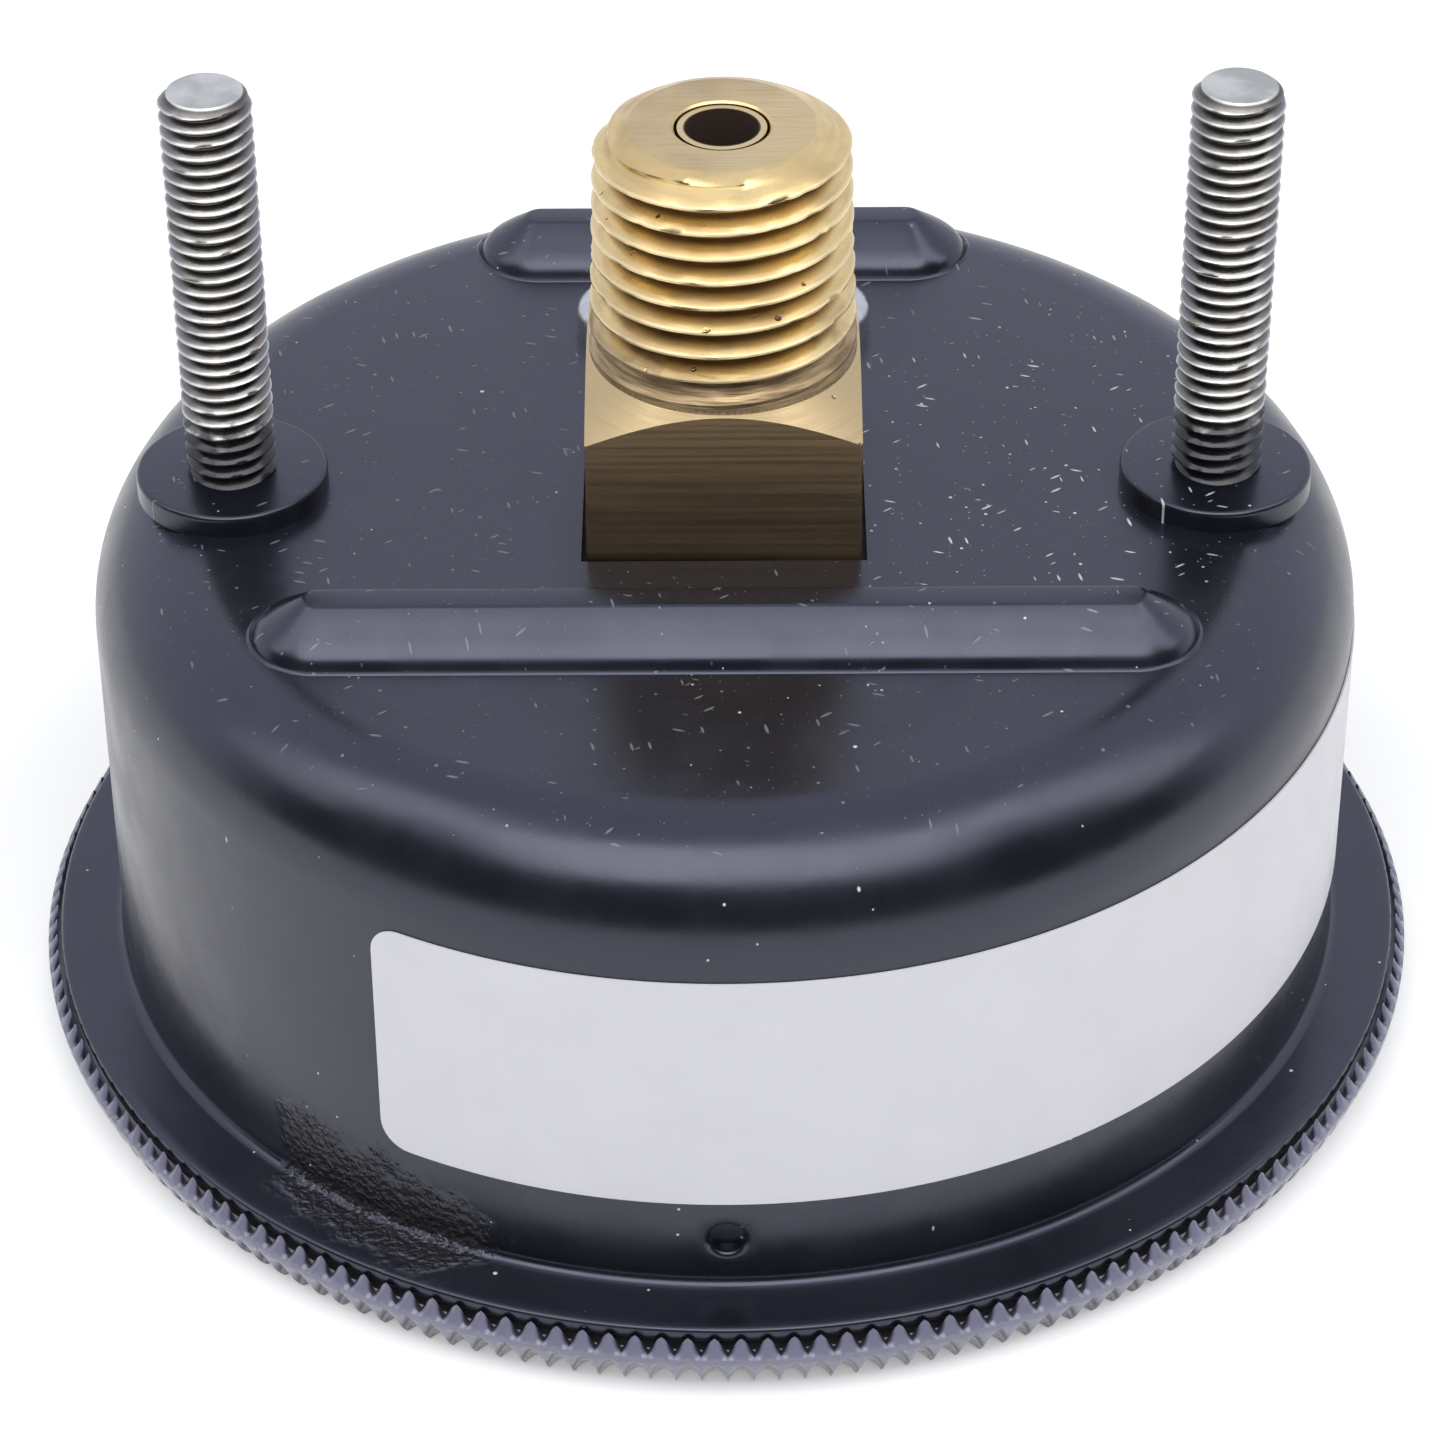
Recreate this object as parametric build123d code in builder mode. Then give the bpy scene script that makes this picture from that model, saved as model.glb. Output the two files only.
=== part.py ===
from build123d import *
import math
import os

# Dial pressure gauge, 2 1/2 inch, centre back connection, for mounting in a panel.
# It stands on its lens: Z is 0 at the lens face and rises along the gauge's axis to the pipe thread.
# X and Y cross on that axis. 12 o'clock on the dial points along +Y.

os.makedirs("parts", exist_ok=True)

# ---- driving dimensions, millimetres ----

# case
case_diameter = 67.5
case_sheet = 0.8
back_height = 30.5
shoulder_radius = 6.0
flange_width = 3.55
flange_height = 4.0
flange_bend = 0.9
socket_hole_clearance = 0.3

# pressed ribs on the case back
rib_height = 2.2
rib_foot_width = 8.3
rib_top_width = 2.0
front_rib_place = -13.8
front_rib_length = 49.5
back_rib_place = 24.4
back_rib_length = 29.0
rib_round = 0.7

# lens, gasket and twist lock
lens_thickness = 2.0
lens_rim_height = 3.7
lens_rim_clearance = 0.25
lens_rim_wall = 0.55
lens_edge_chamfer = 1.2
gasket_thickness = 0.8
gasket_width = 1.8
skirt_wall = 1.7
skirt_top = 8.9
skirt_clearance = 0.2
lock_count = 3
lock_first_angle = -90.0
lock_turn = 22.0
lock_height = 6.9
lock_dimple_diameter = 1.9
lock_dimple_wall = 0.35
lock_dimple_depth = 0.9
lock_clearance = 0.3

# mounting studs
stud_diameter = 4.8
stud_spacing = 52.22
stud_top = 54.25
stud_chamfer = 0.5
collar_diameter = 10.16
collar_height = 1.2
collar_round = 0.4

# label
label_start_angle = -121.3
label_sweep = 128.5
label_bottom = 9.4
label_height = 14.2
label_thickness = 0.1
label_glue = 0.02

# socket
socket_square = 14.29
socket_corner_height = 6.88
socket_shoulder_angle = 30.0
thread_end_diameter = 13.25
thread_taper = 1 / 16
thread_end_height = 20.8
thread_chamfer_angle = 25.0
socket_top = 21.65
port_diameter = 5.3
port_depth = 5.0
arm_width = 18.0
arm_end = 26.6
passage_diameter = 3.2
inner_passage_diameter = 2.4
cross_passage_diameter = 2.4

# restrictor tube in the port
restrictor_diameter = 4.6
restrictor_bore = 3.8
restrictor_length = 10.0
restrictor_floor = 1.0
restrictor_orifice = 0.6
restrictor_recess = 0.15

# screws
case_screw_place = (5.2, 15.7)
case_screw_diameter = 3.0
case_screw_head_diameter = 5.9
case_screw_head_height = 1.9
case_screw_length = 6.0
movement_screw_place = (4.6, 11.0)
movement_screw_diameter = 2.0
movement_screw_head_diameter = 3.4
movement_screw_head_height = 1.2
movement_screw_length = 5.5
small_screw_diameter = 1.4
small_screw_head_diameter = 2.6
small_screw_head_height = 0.8
small_screw_length = 3.2
slot_width = 0.5
slot_depth = 0.4
screw_clearance = 0.05

# bourdon tube
tube_radius = 24.0
tube_width = 2.2
tube_height = 6.6
tube_wall = 0.35
tube_root_angle = 82.0
tube_tip_angle = 355.0
tube_gap_to_back = 1.5
tube_solder = 0.05

# movement
plate_thickness = 1.2
plate_gap = 5.8
plate_edge = 3.0
pillar_places = [(-9.0, 5.0), (12.5, 4.5), (5.5, -19.0)]
pillar_diameter = 3.0
sector_angle = -35.13
gear_module = 0.3
pinion_teeth = 10
sector_ratio = 10
sector_swing = 27.0
sector_spare_teeth = 3
sector_thickness = 1.2
sector_rim_width = 3.0
sector_height = 1.3
sector_arm_width = 3.0
sector_hub_diameter = 5.2
tail_length = 7.0
tail_width = 2.6
tail_start_angle = 13.5
pinion_length = 2.0
pinion_height = 0.9
arbor_diameter = 1.5
sector_arbor_diameter = 1.8
pivot_diameter = 0.8
bearing_clearance = 0.05
end_play = 0.1

# link and tube tip
pin_diameter = 1.2
pin_head_diameter = 2.2
pin_head_height = 0.7
link_width = 2.4
link_thickness = 0.6
link_gap = 0.2
link_open_clearance = 0.3
lug_place = (20.8, 0.5)
lug_thickness = 1.0
tip_block_length = 4.0
tip_block_width = 3.6

# hairspring
spring_strip = 0.2
spring_height = 0.6
spring_place = 4.3
spring_inner_radius = 1.6
spring_pitch = 0.9
spring_half_turns = 9
collet_height = 1.3
spring_stud_diameter = 1.0
spring_seat = 0.05

# dial and pointer
dial_edge_clearance = 0.15
dial_thickness = 0.5
dial_gap = 0.4
dial_hole_diameter = 5.0
dial_post_place = (8.0, -1.0)
dial_post_diameter = 2.8
dial_post_length = 2.7
stop_pin_diameter = 1.0
stop_pin_radius = 18.0
stop_pin_height = 2.9
pointer_zero_angle = -45.0
pointer_gap = 1.6
pointer_thickness = 0.4
pointer_length = 27.0
pointer_tail = 9.0
pointer_width = 1.8
pointer_tip_width = 0.4
pointer_tail_width = 3.2
hub_diameter = 4.4
hub_height = 2.3

# ---- places worked out from them ----

case_radius = case_diameter / 2
flange_radius = case_radius + flange_width
socket_hole = socket_square + 2 * socket_hole_clearance
case_inner_radius = case_radius - case_sheet
inner_back = back_height - case_sheet
flange_front = flange_height - case_sheet
dial_front = skirt_top + dial_gap
dial_back = dial_front + dial_thickness
dial_radius = case_inner_radius - lock_dimple_depth - dial_edge_clearance
front_plate_front = dial_back + dial_post_length
front_plate_back = front_plate_front + plate_thickness
back_plate_front = front_plate_back + plate_gap
arm_face = back_plate_front + plate_thickness
arm_thickness = inner_back - arm_face
sector_bottom = front_plate_back + sector_height
sector_top = sector_bottom + sector_thickness
link_bottom = sector_top + link_gap
lug_bottom = link_bottom + link_thickness + link_gap
tube_middle = inner_back - tube_gap_to_back - tube_height / 2
pinion_radius = gear_module * pinion_teeth / 2
sector_radius = pinion_radius * sector_ratio
arbor_spacing = pinion_radius + sector_radius
skirt_outer_radius = case_inner_radius - skirt_clearance
skirt_inner_radius = skirt_outer_radius - skirt_wall
lens_shelf = flange_front - gasket_thickness


def polar(radius, angle):
    turn = math.radians(angle)
    return (radius * math.cos(turn), radius * math.sin(turn))


def radial_plane(angle, radius=0.0, height=0.0):
    """A plane through the axis: its x runs outwards at the angle, its y runs up."""
    x, y = polar(1.0, angle)
    return Plane(origin=(x * radius, y * radius, height), x_dir=(x, y, 0), z_dir=(y, -x, 0))


def facing_plane(angle, radius, height):
    """A plane square to the radius at the angle, facing outwards."""
    x, y = polar(1.0, angle)
    return Plane(origin=(x * radius, y * radius, height), x_dir=(-y, x, 0), z_dir=(x, y, 0))


def both_sides(place):
    return [place, (-place[0], place[1])]


def save(part, name):
    part.label = name
    export_step(part, "parts/" + name + ".step")


sector_place = polar(arbor_spacing, sector_angle)
tail_start = polar(tail_length, tail_start_angle)
tail_place = (sector_place[0] + tail_start[0], sector_place[1] + tail_start[1])
stud_places = [(stud_spacing / 2, 0), (-stud_spacing / 2, 0)]
lock_angles = [lock_first_angle + turn * 360 / lock_count for turn in range(lock_count)]


# ---- case ----

def rib_solid(place, length, shrink, bottom, top):
    """A pressed rib between two heights. Its sides and ends slope alike and its corners are round."""
    run = (rib_foot_width - rib_top_width) / 2 / rib_height

    def grown(height):
        return 2 * (back_height + rib_height - height) * run - 2 * shrink

    with BuildPart() as rib:
        for height in (bottom, top):
            width = rib_top_width + grown(height)
            whole = length - rib_foot_width + width
            with BuildSketch(Plane.XY.offset(height)):
                with Locations((0, place)):
                    RectangleRounded(whole, width, 0.49 * width)
        loft()
    return rib.part


rib_sink = 0.6
ribs = [(front_rib_place, front_rib_length), (back_rib_place, back_rib_length)]
rib_outsides = [rib_solid(y, length, 0, back_height - rib_sink, back_height + rib_height) for y, length in ribs]
rib_insides = [
    rib_solid(y, length, case_sheet / 2, inner_back - rib_sink, inner_back + rib_height) for y, length in ribs
]

with BuildPart() as case:
    with BuildSketch(Plane.XZ):
        with BuildLine():
            bend = flange_bend + case_sheet
            corner = shoulder_radius - case_sheet
            Polyline((0, inner_back), (0, back_height), (case_radius - shoulder_radius, back_height))
            RadiusArc(
                (case_radius - shoulder_radius, back_height),
                (case_radius, back_height - shoulder_radius),
                shoulder_radius,
            )
            Line((case_radius, back_height - shoulder_radius), (case_radius, flange_height + flange_bend))
            RadiusArc(
                (case_radius, flange_height + flange_bend), (case_radius + flange_bend, flange_height), -flange_bend
            )
            Polyline(
                (case_radius + flange_bend, flange_height),
                (flange_radius, flange_height),
                (flange_radius, flange_front),
                (case_radius + flange_bend, flange_front),
            )
            RadiusArc(
                (case_radius + flange_bend, flange_front), (case_inner_radius, flange_height + flange_bend), bend
            )
            Line((case_inner_radius, flange_height + flange_bend), (case_inner_radius, inner_back - corner))
            RadiusArc((case_inner_radius, inner_back - corner), (case_inner_radius - corner, inner_back), -corner)
            Line((case_inner_radius - corner, inner_back), (0, inner_back))
        make_face()
    revolve(axis=Axis.Z)
    for outside in rib_outsides:
        add(outside)
    fillet(case.edges().group_by(Axis.Z)[-1], rib_round)
    for inside in rib_insides:
        add(inside, mode=Mode.SUBTRACT)
    with BuildSketch(Plane.XY.offset(inner_back - 1)):
        Rectangle(socket_hole, socket_hole)
    extrude(amount=case_sheet + 2, mode=Mode.SUBTRACT)
    with BuildSketch(Plane.XY.offset(inner_back - 1)):
        with Locations(*both_sides(case_screw_place)):
            Circle(case_screw_diameter / 2 + 0.2)
    extrude(amount=case_sheet + 2, mode=Mode.SUBTRACT)
    for angle in lock_angles:
        with BuildSketch(facing_plane(angle, case_inner_radius - lock_dimple_depth, lock_height)):
            Circle(lock_dimple_diameter / 2 + lock_dimple_wall)
        extrude(amount=lock_dimple_depth + case_sheet / 2)
        with BuildSketch(facing_plane(angle, case_inner_radius - lock_dimple_depth + lock_dimple_wall, lock_height)):
            Circle(lock_dimple_diameter / 2)
        extrude(amount=lock_dimple_depth + case_sheet, mode=Mode.SUBTRACT)
save(case.part, "case")

# ---- collars, welded to the back, and the mounting studs that stand on them ----

with BuildPart() as stud_collars:
    with BuildSketch(Plane.XY.offset(back_height)):
        with Locations(*stud_places):
            Circle(collar_diameter / 2)
    extrude(amount=collar_height)
    fillet(stud_collars.edges().group_by(Axis.Z)[-1], collar_round)
save(stud_collars.part, "stud_collars")

with BuildPart() as mounting_studs:
    with BuildSketch(Plane.XY.offset(back_height + collar_height)):
        with Locations(*stud_places):
            Circle(stud_diameter / 2)
    extrude(amount=stud_top - back_height - collar_height)
    chamfer(mounting_studs.edges().group_by(Axis.Z)[-1], stud_chamfer)
save(mounting_studs.part, "mounting_studs")

# ---- label, wrapped on the wall ----

with BuildPart() as label:
    with BuildSketch(radial_plane(label_start_angle)):
        with Locations((case_radius + label_glue + label_thickness / 2, label_bottom + label_height / 2)):
            Rectangle(label_thickness, label_height)
    revolve(axis=Axis.Z, revolution_arc=label_sweep)
save(label.part, "label")

# ---- socket: wrench block and pipe thread outside, arm for tube and movement inside ----

socket_base = back_height
half_square = socket_square / 2
shoulder_slope = math.tan(math.radians(socket_shoulder_angle))
corner_radius = half_square * math.sqrt(2)
thread_end_radius = thread_end_diameter / 2
shoulder_meets_thread = socket_corner_height + (corner_radius - thread_end_radius) * shoulder_slope
thread_base_radius = thread_end_radius + (thread_end_height - shoulder_meets_thread) * thread_taper / 2
chamfer_run = (socket_top - thread_end_height) / math.tan(math.radians(thread_chamfer_angle))
port_floor = socket_base + socket_top - port_depth
restrictor_top = socket_base + socket_top - restrictor_recess
restrictor_bottom = restrictor_top - restrictor_length

with BuildPart() as socket:
    with BuildSketch(Plane.XY.offset(inner_back)):
        Rectangle(socket_square, socket_square)
    extrude(amount=socket_base + socket_corner_height + 4 - inner_back)
    with BuildSketch(Plane.XZ):
        with BuildLine():
            Polyline(
                (0, inner_back - 1),
                (corner_radius + 1, inner_back - 1),
                (corner_radius + 1, socket_base + socket_corner_height - shoulder_slope),
                (0, socket_base + socket_corner_height + corner_radius * shoulder_slope),
                close=True,
            )
        make_face()
    revolve(axis=Axis.Z, mode=Mode.INTERSECT)
    with BuildSketch(Plane.XZ):
        with BuildLine():
            Polyline(
                (0, socket_base + socket_corner_height),
                (thread_base_radius, socket_base + socket_corner_height),
                (thread_base_radius, socket_base + shoulder_meets_thread),
                (thread_end_radius, socket_base + thread_end_height),
                (thread_end_radius - chamfer_run, socket_base + socket_top),
                (0, socket_base + socket_top),
                close=True,
            )
        make_face()
    revolve(axis=Axis.Z)
    with BuildSketch(Plane.XY.offset(port_floor)):
        Circle(port_diameter / 2)
    extrude(amount=port_depth + 1, mode=Mode.SUBTRACT)
    with BuildSketch(Plane.XY.offset(restrictor_bottom)):
        Circle(restrictor_diameter / 2 + screw_clearance)
    extrude(amount=restrictor_length, mode=Mode.SUBTRACT)
    with BuildSketch(Plane.XY.offset(inner_back - 1)):
        Circle(passage_diameter / 2)
    extrude(amount=restrictor_bottom - inner_back + 2, mode=Mode.SUBTRACT)
save(socket.part, "socket")

# ---- socket arm, brazed under the block against the back sheet ----

with BuildPart() as socket_arm:
    with BuildSketch(Plane.XY.offset(arm_face)):
        with Locations((0, (arm_end - arm_width / 2) / 2)):
            Rectangle(arm_width, arm_end + arm_width / 2)
    extrude(amount=arm_thickness)
    with BuildSketch(radial_plane(tube_root_angle)):
        with Locations((tube_radius, tube_middle)):
            SlotOverall(tube_height + 2 * tube_solder, tube_width + 2 * tube_solder, rotation=90)
    revolve(axis=Axis.Z, revolution_arc=40, mode=Mode.SUBTRACT)
    with BuildSketch(Plane.XY.offset(tube_middle)):
        Circle(inner_passage_diameter / 2)
    extrude(amount=inner_back - tube_middle + 1, mode=Mode.SUBTRACT)
    with BuildSketch(Plane(origin=(0, 0, tube_middle), x_dir=(1, 0, 0), z_dir=(0, 1, 0))):
        Circle(cross_passage_diameter / 2)
    extrude(amount=tube_radius - tube_width / 2, mode=Mode.SUBTRACT)
    with BuildSketch(Plane.XY.offset(back_height - case_screw_length - 0.5)):
        with Locations(*both_sides(case_screw_place)):
            Circle(case_screw_diameter / 2 + screw_clearance)
    extrude(amount=case_screw_length + 1, mode=Mode.SUBTRACT)
    with BuildSketch(Plane.XY.offset(arm_face)):
        with Locations(*both_sides(movement_screw_place)):
            Circle(movement_screw_diameter / 2 + screw_clearance)
    extrude(amount=movement_screw_length - plate_thickness + 0.5, mode=Mode.SUBTRACT)
save(socket_arm.part, "socket_arm")

with BuildPart() as restrictor:
    with BuildSketch(Plane.XY.offset(restrictor_bottom)):
        Circle(restrictor_diameter / 2)
        Circle(restrictor_orifice / 2, mode=Mode.SUBTRACT)
    extrude(amount=restrictor_length)
    with BuildSketch(Plane.XY.offset(restrictor_bottom + restrictor_floor)):
        Circle(restrictor_bore / 2)
    extrude(amount=restrictor_length, mode=Mode.SUBTRACT)
save(restrictor.part, "restrictor")


# ---- slotted and crossed screws, all pointing along Z ----

def screws(places, seat, head_diameter, head_height, diameter, length, up):
    """Pan head screws whose heads sit on the seat height. up is 1 when the heads point up, -1 when down."""
    with BuildPart() as group:
        with BuildSketch(Plane.XY.offset(seat)):
            with Locations(*places):
                Circle(head_diameter / 2)
        extrude(amount=up * head_height)
        outer = group.edges().group_by(Axis.Z)[-1 if up > 0 else 0]
        fillet(outer, 0.4 * head_height)
        with BuildSketch(Plane.XY.offset(seat + up * (head_height - slot_depth))):
            with Locations(*places):
                Rectangle(head_diameter * 0.7, slot_width)
        extrude(amount=up * slot_depth, mode=Mode.SUBTRACT)
        with BuildSketch(Plane.XY.offset(seat)):
            with Locations(*places):
                Circle(diameter / 2)
        extrude(amount=-up * length)
    return group.part


case_screws = screws(
    both_sides(case_screw_place),
    back_height,
    case_screw_head_diameter,
    case_screw_head_height,
    case_screw_diameter,
    case_screw_length,
    1,
)
save(case_screws, "case_screws")

movement_screws = screws(
    both_sides(movement_screw_place),
    back_plate_front,
    movement_screw_head_diameter,
    movement_screw_head_height,
    movement_screw_diameter,
    movement_screw_length,
    -1,
)
save(movement_screws, "movement_screws")

pillar_screws = screws(
    pillar_places,
    front_plate_front,
    small_screw_head_diameter,
    small_screw_head_height,
    small_screw_diameter,
    small_screw_length,
    -1,
)
save(pillar_screws, "pillar_screws")

dial_screws = screws(
    both_sides(dial_post_place),
    dial_front,
    small_screw_head_diameter,
    small_screw_head_height,
    small_screw_diameter,
    small_screw_length - plate_thickness,
    -1,
)
save(dial_screws, "dial_screws")

# ---- bourdon tube: a flattened tube bent to a C about the axis ----

with BuildPart() as bourdon_tube:
    with BuildSketch(radial_plane(tube_root_angle)):
        with Locations((tube_radius, tube_middle)):
            SlotOverall(tube_height, tube_width, rotation=90)
            SlotOverall(
                tube_height - 2 * tube_wall, tube_width - 2 * tube_wall, rotation=90, mode=Mode.SUBTRACT
            )
    revolve(axis=Axis.Z, revolution_arc=tube_tip_angle - tube_root_angle)
save(bourdon_tube.part, "bourdon_tube")

# ---- tube tip: a block that caps the tube, with a leg down to the lug that the link hangs on ----

tip_x, tip_y = polar(1.0, tube_tip_angle)
tip_side = math.radians(tube_tip_angle)
tip_plane = Plane(
    origin=(tip_x * tube_radius, tip_y * tube_radius, lug_bottom), x_dir=(tip_x, tip_y, 0), z_dir=(0, 0, 1)
)
lug_from = (tip_x * tube_radius - tip_y * tip_block_length / 2, tip_y * tube_radius + tip_x * tip_block_length / 2)

with BuildPart() as tube_tip:
    with BuildSketch(tip_plane):
        with Locations((0, tube_solder + tip_block_length / 2)):
            Rectangle(tip_block_width, tip_block_length)
    extrude(amount=tube_middle + tube_height / 2 + 0.4 - lug_bottom)
    with BuildSketch(Plane.XY.offset(lug_bottom)):
        with Locations(lug_from, lug_place):
            Circle(link_width / 2)
        make_hull()
    extrude(amount=lug_thickness)
    with BuildSketch(Plane.XY.offset(lug_bottom)):
        with Locations(lug_place):
            Circle(pin_diameter / 2)
    extrude(amount=lug_thickness, mode=Mode.SUBTRACT)
save(tube_tip.part, "tube_tip")


def pivot_pin(place, head_top, end, name):
    """A headed pin. The head is below head_top and the shank rises to the end height."""
    with BuildPart() as pin:
        with BuildSketch(Plane.XY.offset(head_top - pin_head_height)):
            with Locations(place):
                Circle(pin_head_diameter / 2)
        extrude(amount=pin_head_height)
        with BuildSketch(Plane.XY.offset(head_top)):
            with Locations(place):
                Circle(pin_diameter / 2)
        extrude(amount=end - head_top)
    save(pin.part, name)


pivot_pin(lug_place, link_bottom - link_gap, lug_bottom + lug_thickness, "tip_pin")
pivot_pin(tail_place, sector_bottom, link_bottom + link_thickness + link_gap, "tail_pin")

with BuildPart() as tip_link:
    with BuildSketch(Plane.XY.offset(link_bottom)):
        with Locations(lug_place, tail_place):
            Circle(link_width / 2)
        make_hull()
        with Locations(lug_place):
            Circle(pin_diameter / 2 + link_open_clearance, mode=Mode.SUBTRACT)
        with Locations(tail_place):
            Circle(pin_diameter / 2 + bearing_clearance, mode=Mode.SUBTRACT)
    extrude(amount=link_thickness)
save(tip_link.part, "tip_link")

# ---- gears: ten pinion teeth drive from a hundred-tooth sector, of which only the worked part is cut ----

addendum = gear_module
dedendum = 1.3 * gear_module
sector_half_angle = sector_swing / 2 + sector_spare_teeth * 360 / (pinion_teeth * sector_ratio)
sector_middle_angle = sector_angle + 180 + sector_swing / 2
tooth_step = 360 / (pinion_teeth * sector_ratio)


def tooth_corners(radius, place, angle, root_half, pitch_half, tip_half):
    """The corners of one tooth on a gear of that pitch radius, pointing at the angle."""
    cos = math.cos(math.radians(angle))
    sin = math.sin(math.radians(angle))

    def at(out, side):
        return (place[0] + out * cos - side * sin, place[1] + out * sin + side * cos)

    low = radius - dedendum - 0.1
    high = radius + addendum
    halves = [(low, root_half), (radius, pitch_half), (high, tip_half)]
    return [at(out, -side) for out, side in halves] + [at(out, side) for out, side in reversed(halves)]


sector_teeth = int(2 * sector_half_angle / tooth_step)
sector_tooth_angles = [
    sector_angle + 180 + (number + 0.5) * tooth_step
    for number in range(-sector_spare_teeth, sector_teeth - sector_spare_teeth)
]

with BuildPart() as sector_gear:
    with BuildSketch(Plane.XY.offset(sector_bottom)):
        with Locations(sector_place):
            Circle(sector_radius - dedendum)
            Circle(sector_radius - dedendum - sector_rim_width, mode=Mode.SUBTRACT)
        with BuildLine():
            reach = 2 * sector_radius
            from_angle = sector_tooth_angles[0] - tooth_step / 2
            to_angle = sector_tooth_angles[-1] + tooth_step / 2
            first = polar(reach, from_angle)
            last = polar(reach, to_angle)
            Polyline(
                sector_place,
                (sector_place[0] + first[0], sector_place[1] + first[1]),
                (sector_place[0] + last[0], sector_place[1] + last[1]),
                close=True,
            )
        make_face(mode=Mode.INTERSECT)
        for angle in sector_tooth_angles:
            Polygon(*tooth_corners(sector_radius, sector_place, angle, 0.30, 0.17, 0.07), align=None)
        middle = polar(sector_radius - dedendum - sector_rim_width / 2, (from_angle + to_angle) / 2)
        with BuildLine():
            arm_line = Line(sector_place, (sector_place[0] + middle[0], sector_place[1] + middle[1]))
        trace(arm_line, sector_arm_width)
        with BuildLine():
            tail_line = Line(sector_place, tail_place)
        trace(tail_line, tail_width)
        with Locations(sector_place):
            Circle(sector_hub_diameter / 2)
        with Locations(tail_place):
            Circle(tail_width / 2)
            Circle(pin_diameter / 2, mode=Mode.SUBTRACT)
        with Locations(sector_place):
            Circle(sector_arbor_diameter / 2, mode=Mode.SUBTRACT)
    extrude(amount=sector_thickness)
save(sector_gear.part, "sector_gear")


def stepped_shaft(place, steps, name):
    """A turned shaft: a list of (bottom, top, diameter)."""
    with BuildPart() as shaft:
        for bottom, top, diameter in steps:
            with BuildSketch(Plane.XY.offset(bottom)):
                with Locations(place):
                    Circle(diameter / 2)
            extrude(amount=top - bottom)
    save(shaft.part, name)


stepped_shaft(
    sector_place,
    [
        (front_plate_front, front_plate_back + end_play, pivot_diameter),
        (front_plate_back + end_play, back_plate_front - end_play, sector_arbor_diameter),
        (back_plate_front - end_play, arm_face, pivot_diameter),
    ],
    "sector_arbor",
)

hub_bottom = dial_front - pointer_gap - pointer_thickness - 1.0
pinion_bottom = front_plate_back + pinion_height
pinion_top = pinion_bottom + pinion_length

with BuildPart() as pinion_arbor:
    with BuildSketch(Plane.XY.offset(hub_bottom)):
        Circle(arbor_diameter / 2)
    extrude(amount=back_plate_front - end_play - hub_bottom)
    with BuildSketch(Plane.XY.offset(back_plate_front - end_play)):
        Circle(pivot_diameter / 2)
    extrude(amount=plate_thickness)
    with BuildSketch(Plane.XY.offset(pinion_bottom)):
        Circle(pinion_radius - dedendum)
        for number in range(pinion_teeth):
            angle = sector_angle + number * 360 / pinion_teeth
            Polygon(*tooth_corners(pinion_radius, (0, 0), angle, 0.16, 0.17, 0.06), align=None)
    extrude(amount=pinion_length)
save(pinion_arbor.part, "pinion_arbor")

# ---- hairspring: half circles about two centres a half pitch apart ----

spring_bottom = front_plate_back + spring_place
half_strip = spring_strip / 2
half_pitch = spring_pitch / 2

with BuildPart() as hairspring:
    with BuildSketch(Plane.XY.offset(spring_bottom)):
        with BuildLine():
            for side in (half_strip, -half_strip):
                for turn in range(spring_half_turns):
                    radius = spring_inner_radius + turn * half_pitch + side
                    centre = half_pitch if turn % 2 else 0.0
                    start = 180.0 if turn % 2 else 0.0
                    CenterArc((centre, 0), radius, start, 180)
            end_radius = spring_inner_radius + (spring_half_turns - 1) * half_pitch
            end_sign = -1 if spring_half_turns % 2 else 1
            end_centre = 0.0 if spring_half_turns % 2 else half_pitch
            Line((spring_inner_radius - half_strip, 0), (spring_inner_radius + half_strip, 0))
            Line(
                (end_centre + end_sign * (end_radius - half_strip), 0),
                (end_centre + end_sign * (end_radius + half_strip), 0),
            )
        make_face()
    extrude(amount=spring_height)
save(hairspring.part, "hairspring")

spring_end = (end_centre + end_sign * end_radius, end_sign * (spring_stud_diameter / 2 + spring_seat))

with BuildPart() as hairspring_stud:
    with BuildSketch(Plane.XY.offset(spring_bottom - 0.2)):
        with Locations(spring_end):
            Circle(spring_stud_diameter / 2)
    extrude(amount=back_plate_front - spring_bottom + 0.2)
save(hairspring_stud.part, "hairspring_stud")

with BuildPart() as hairspring_collet:
    with BuildSketch(Plane.XY.offset(spring_bottom + spring_height / 2 - collet_height / 2)):
        Circle(spring_inner_radius - half_strip - spring_seat)
        Circle(arbor_diameter / 2, mode=Mode.SUBTRACT)
    extrude(amount=collet_height)
save(hairspring_collet.part, "hairspring_collet")

# ---- movement plates and pillars ----

dial_post_places = both_sides(dial_post_place)

with BuildPart() as movement_back_plate:
    with BuildSketch(Plane.XY.offset(back_plate_front)):
        with Locations(*pillar_places, sector_place, *both_sides(movement_screw_place)):
            Circle(plate_edge)
        make_hull()
        with Locations(sector_place, (0, 0)):
            Circle(pivot_diameter / 2 + bearing_clearance, mode=Mode.SUBTRACT)
        with Locations(*both_sides(movement_screw_place)):
            Circle(movement_screw_diameter / 2 + 0.1, mode=Mode.SUBTRACT)
    extrude(amount=plate_thickness)
save(movement_back_plate.part, "movement_back_plate")

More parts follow.
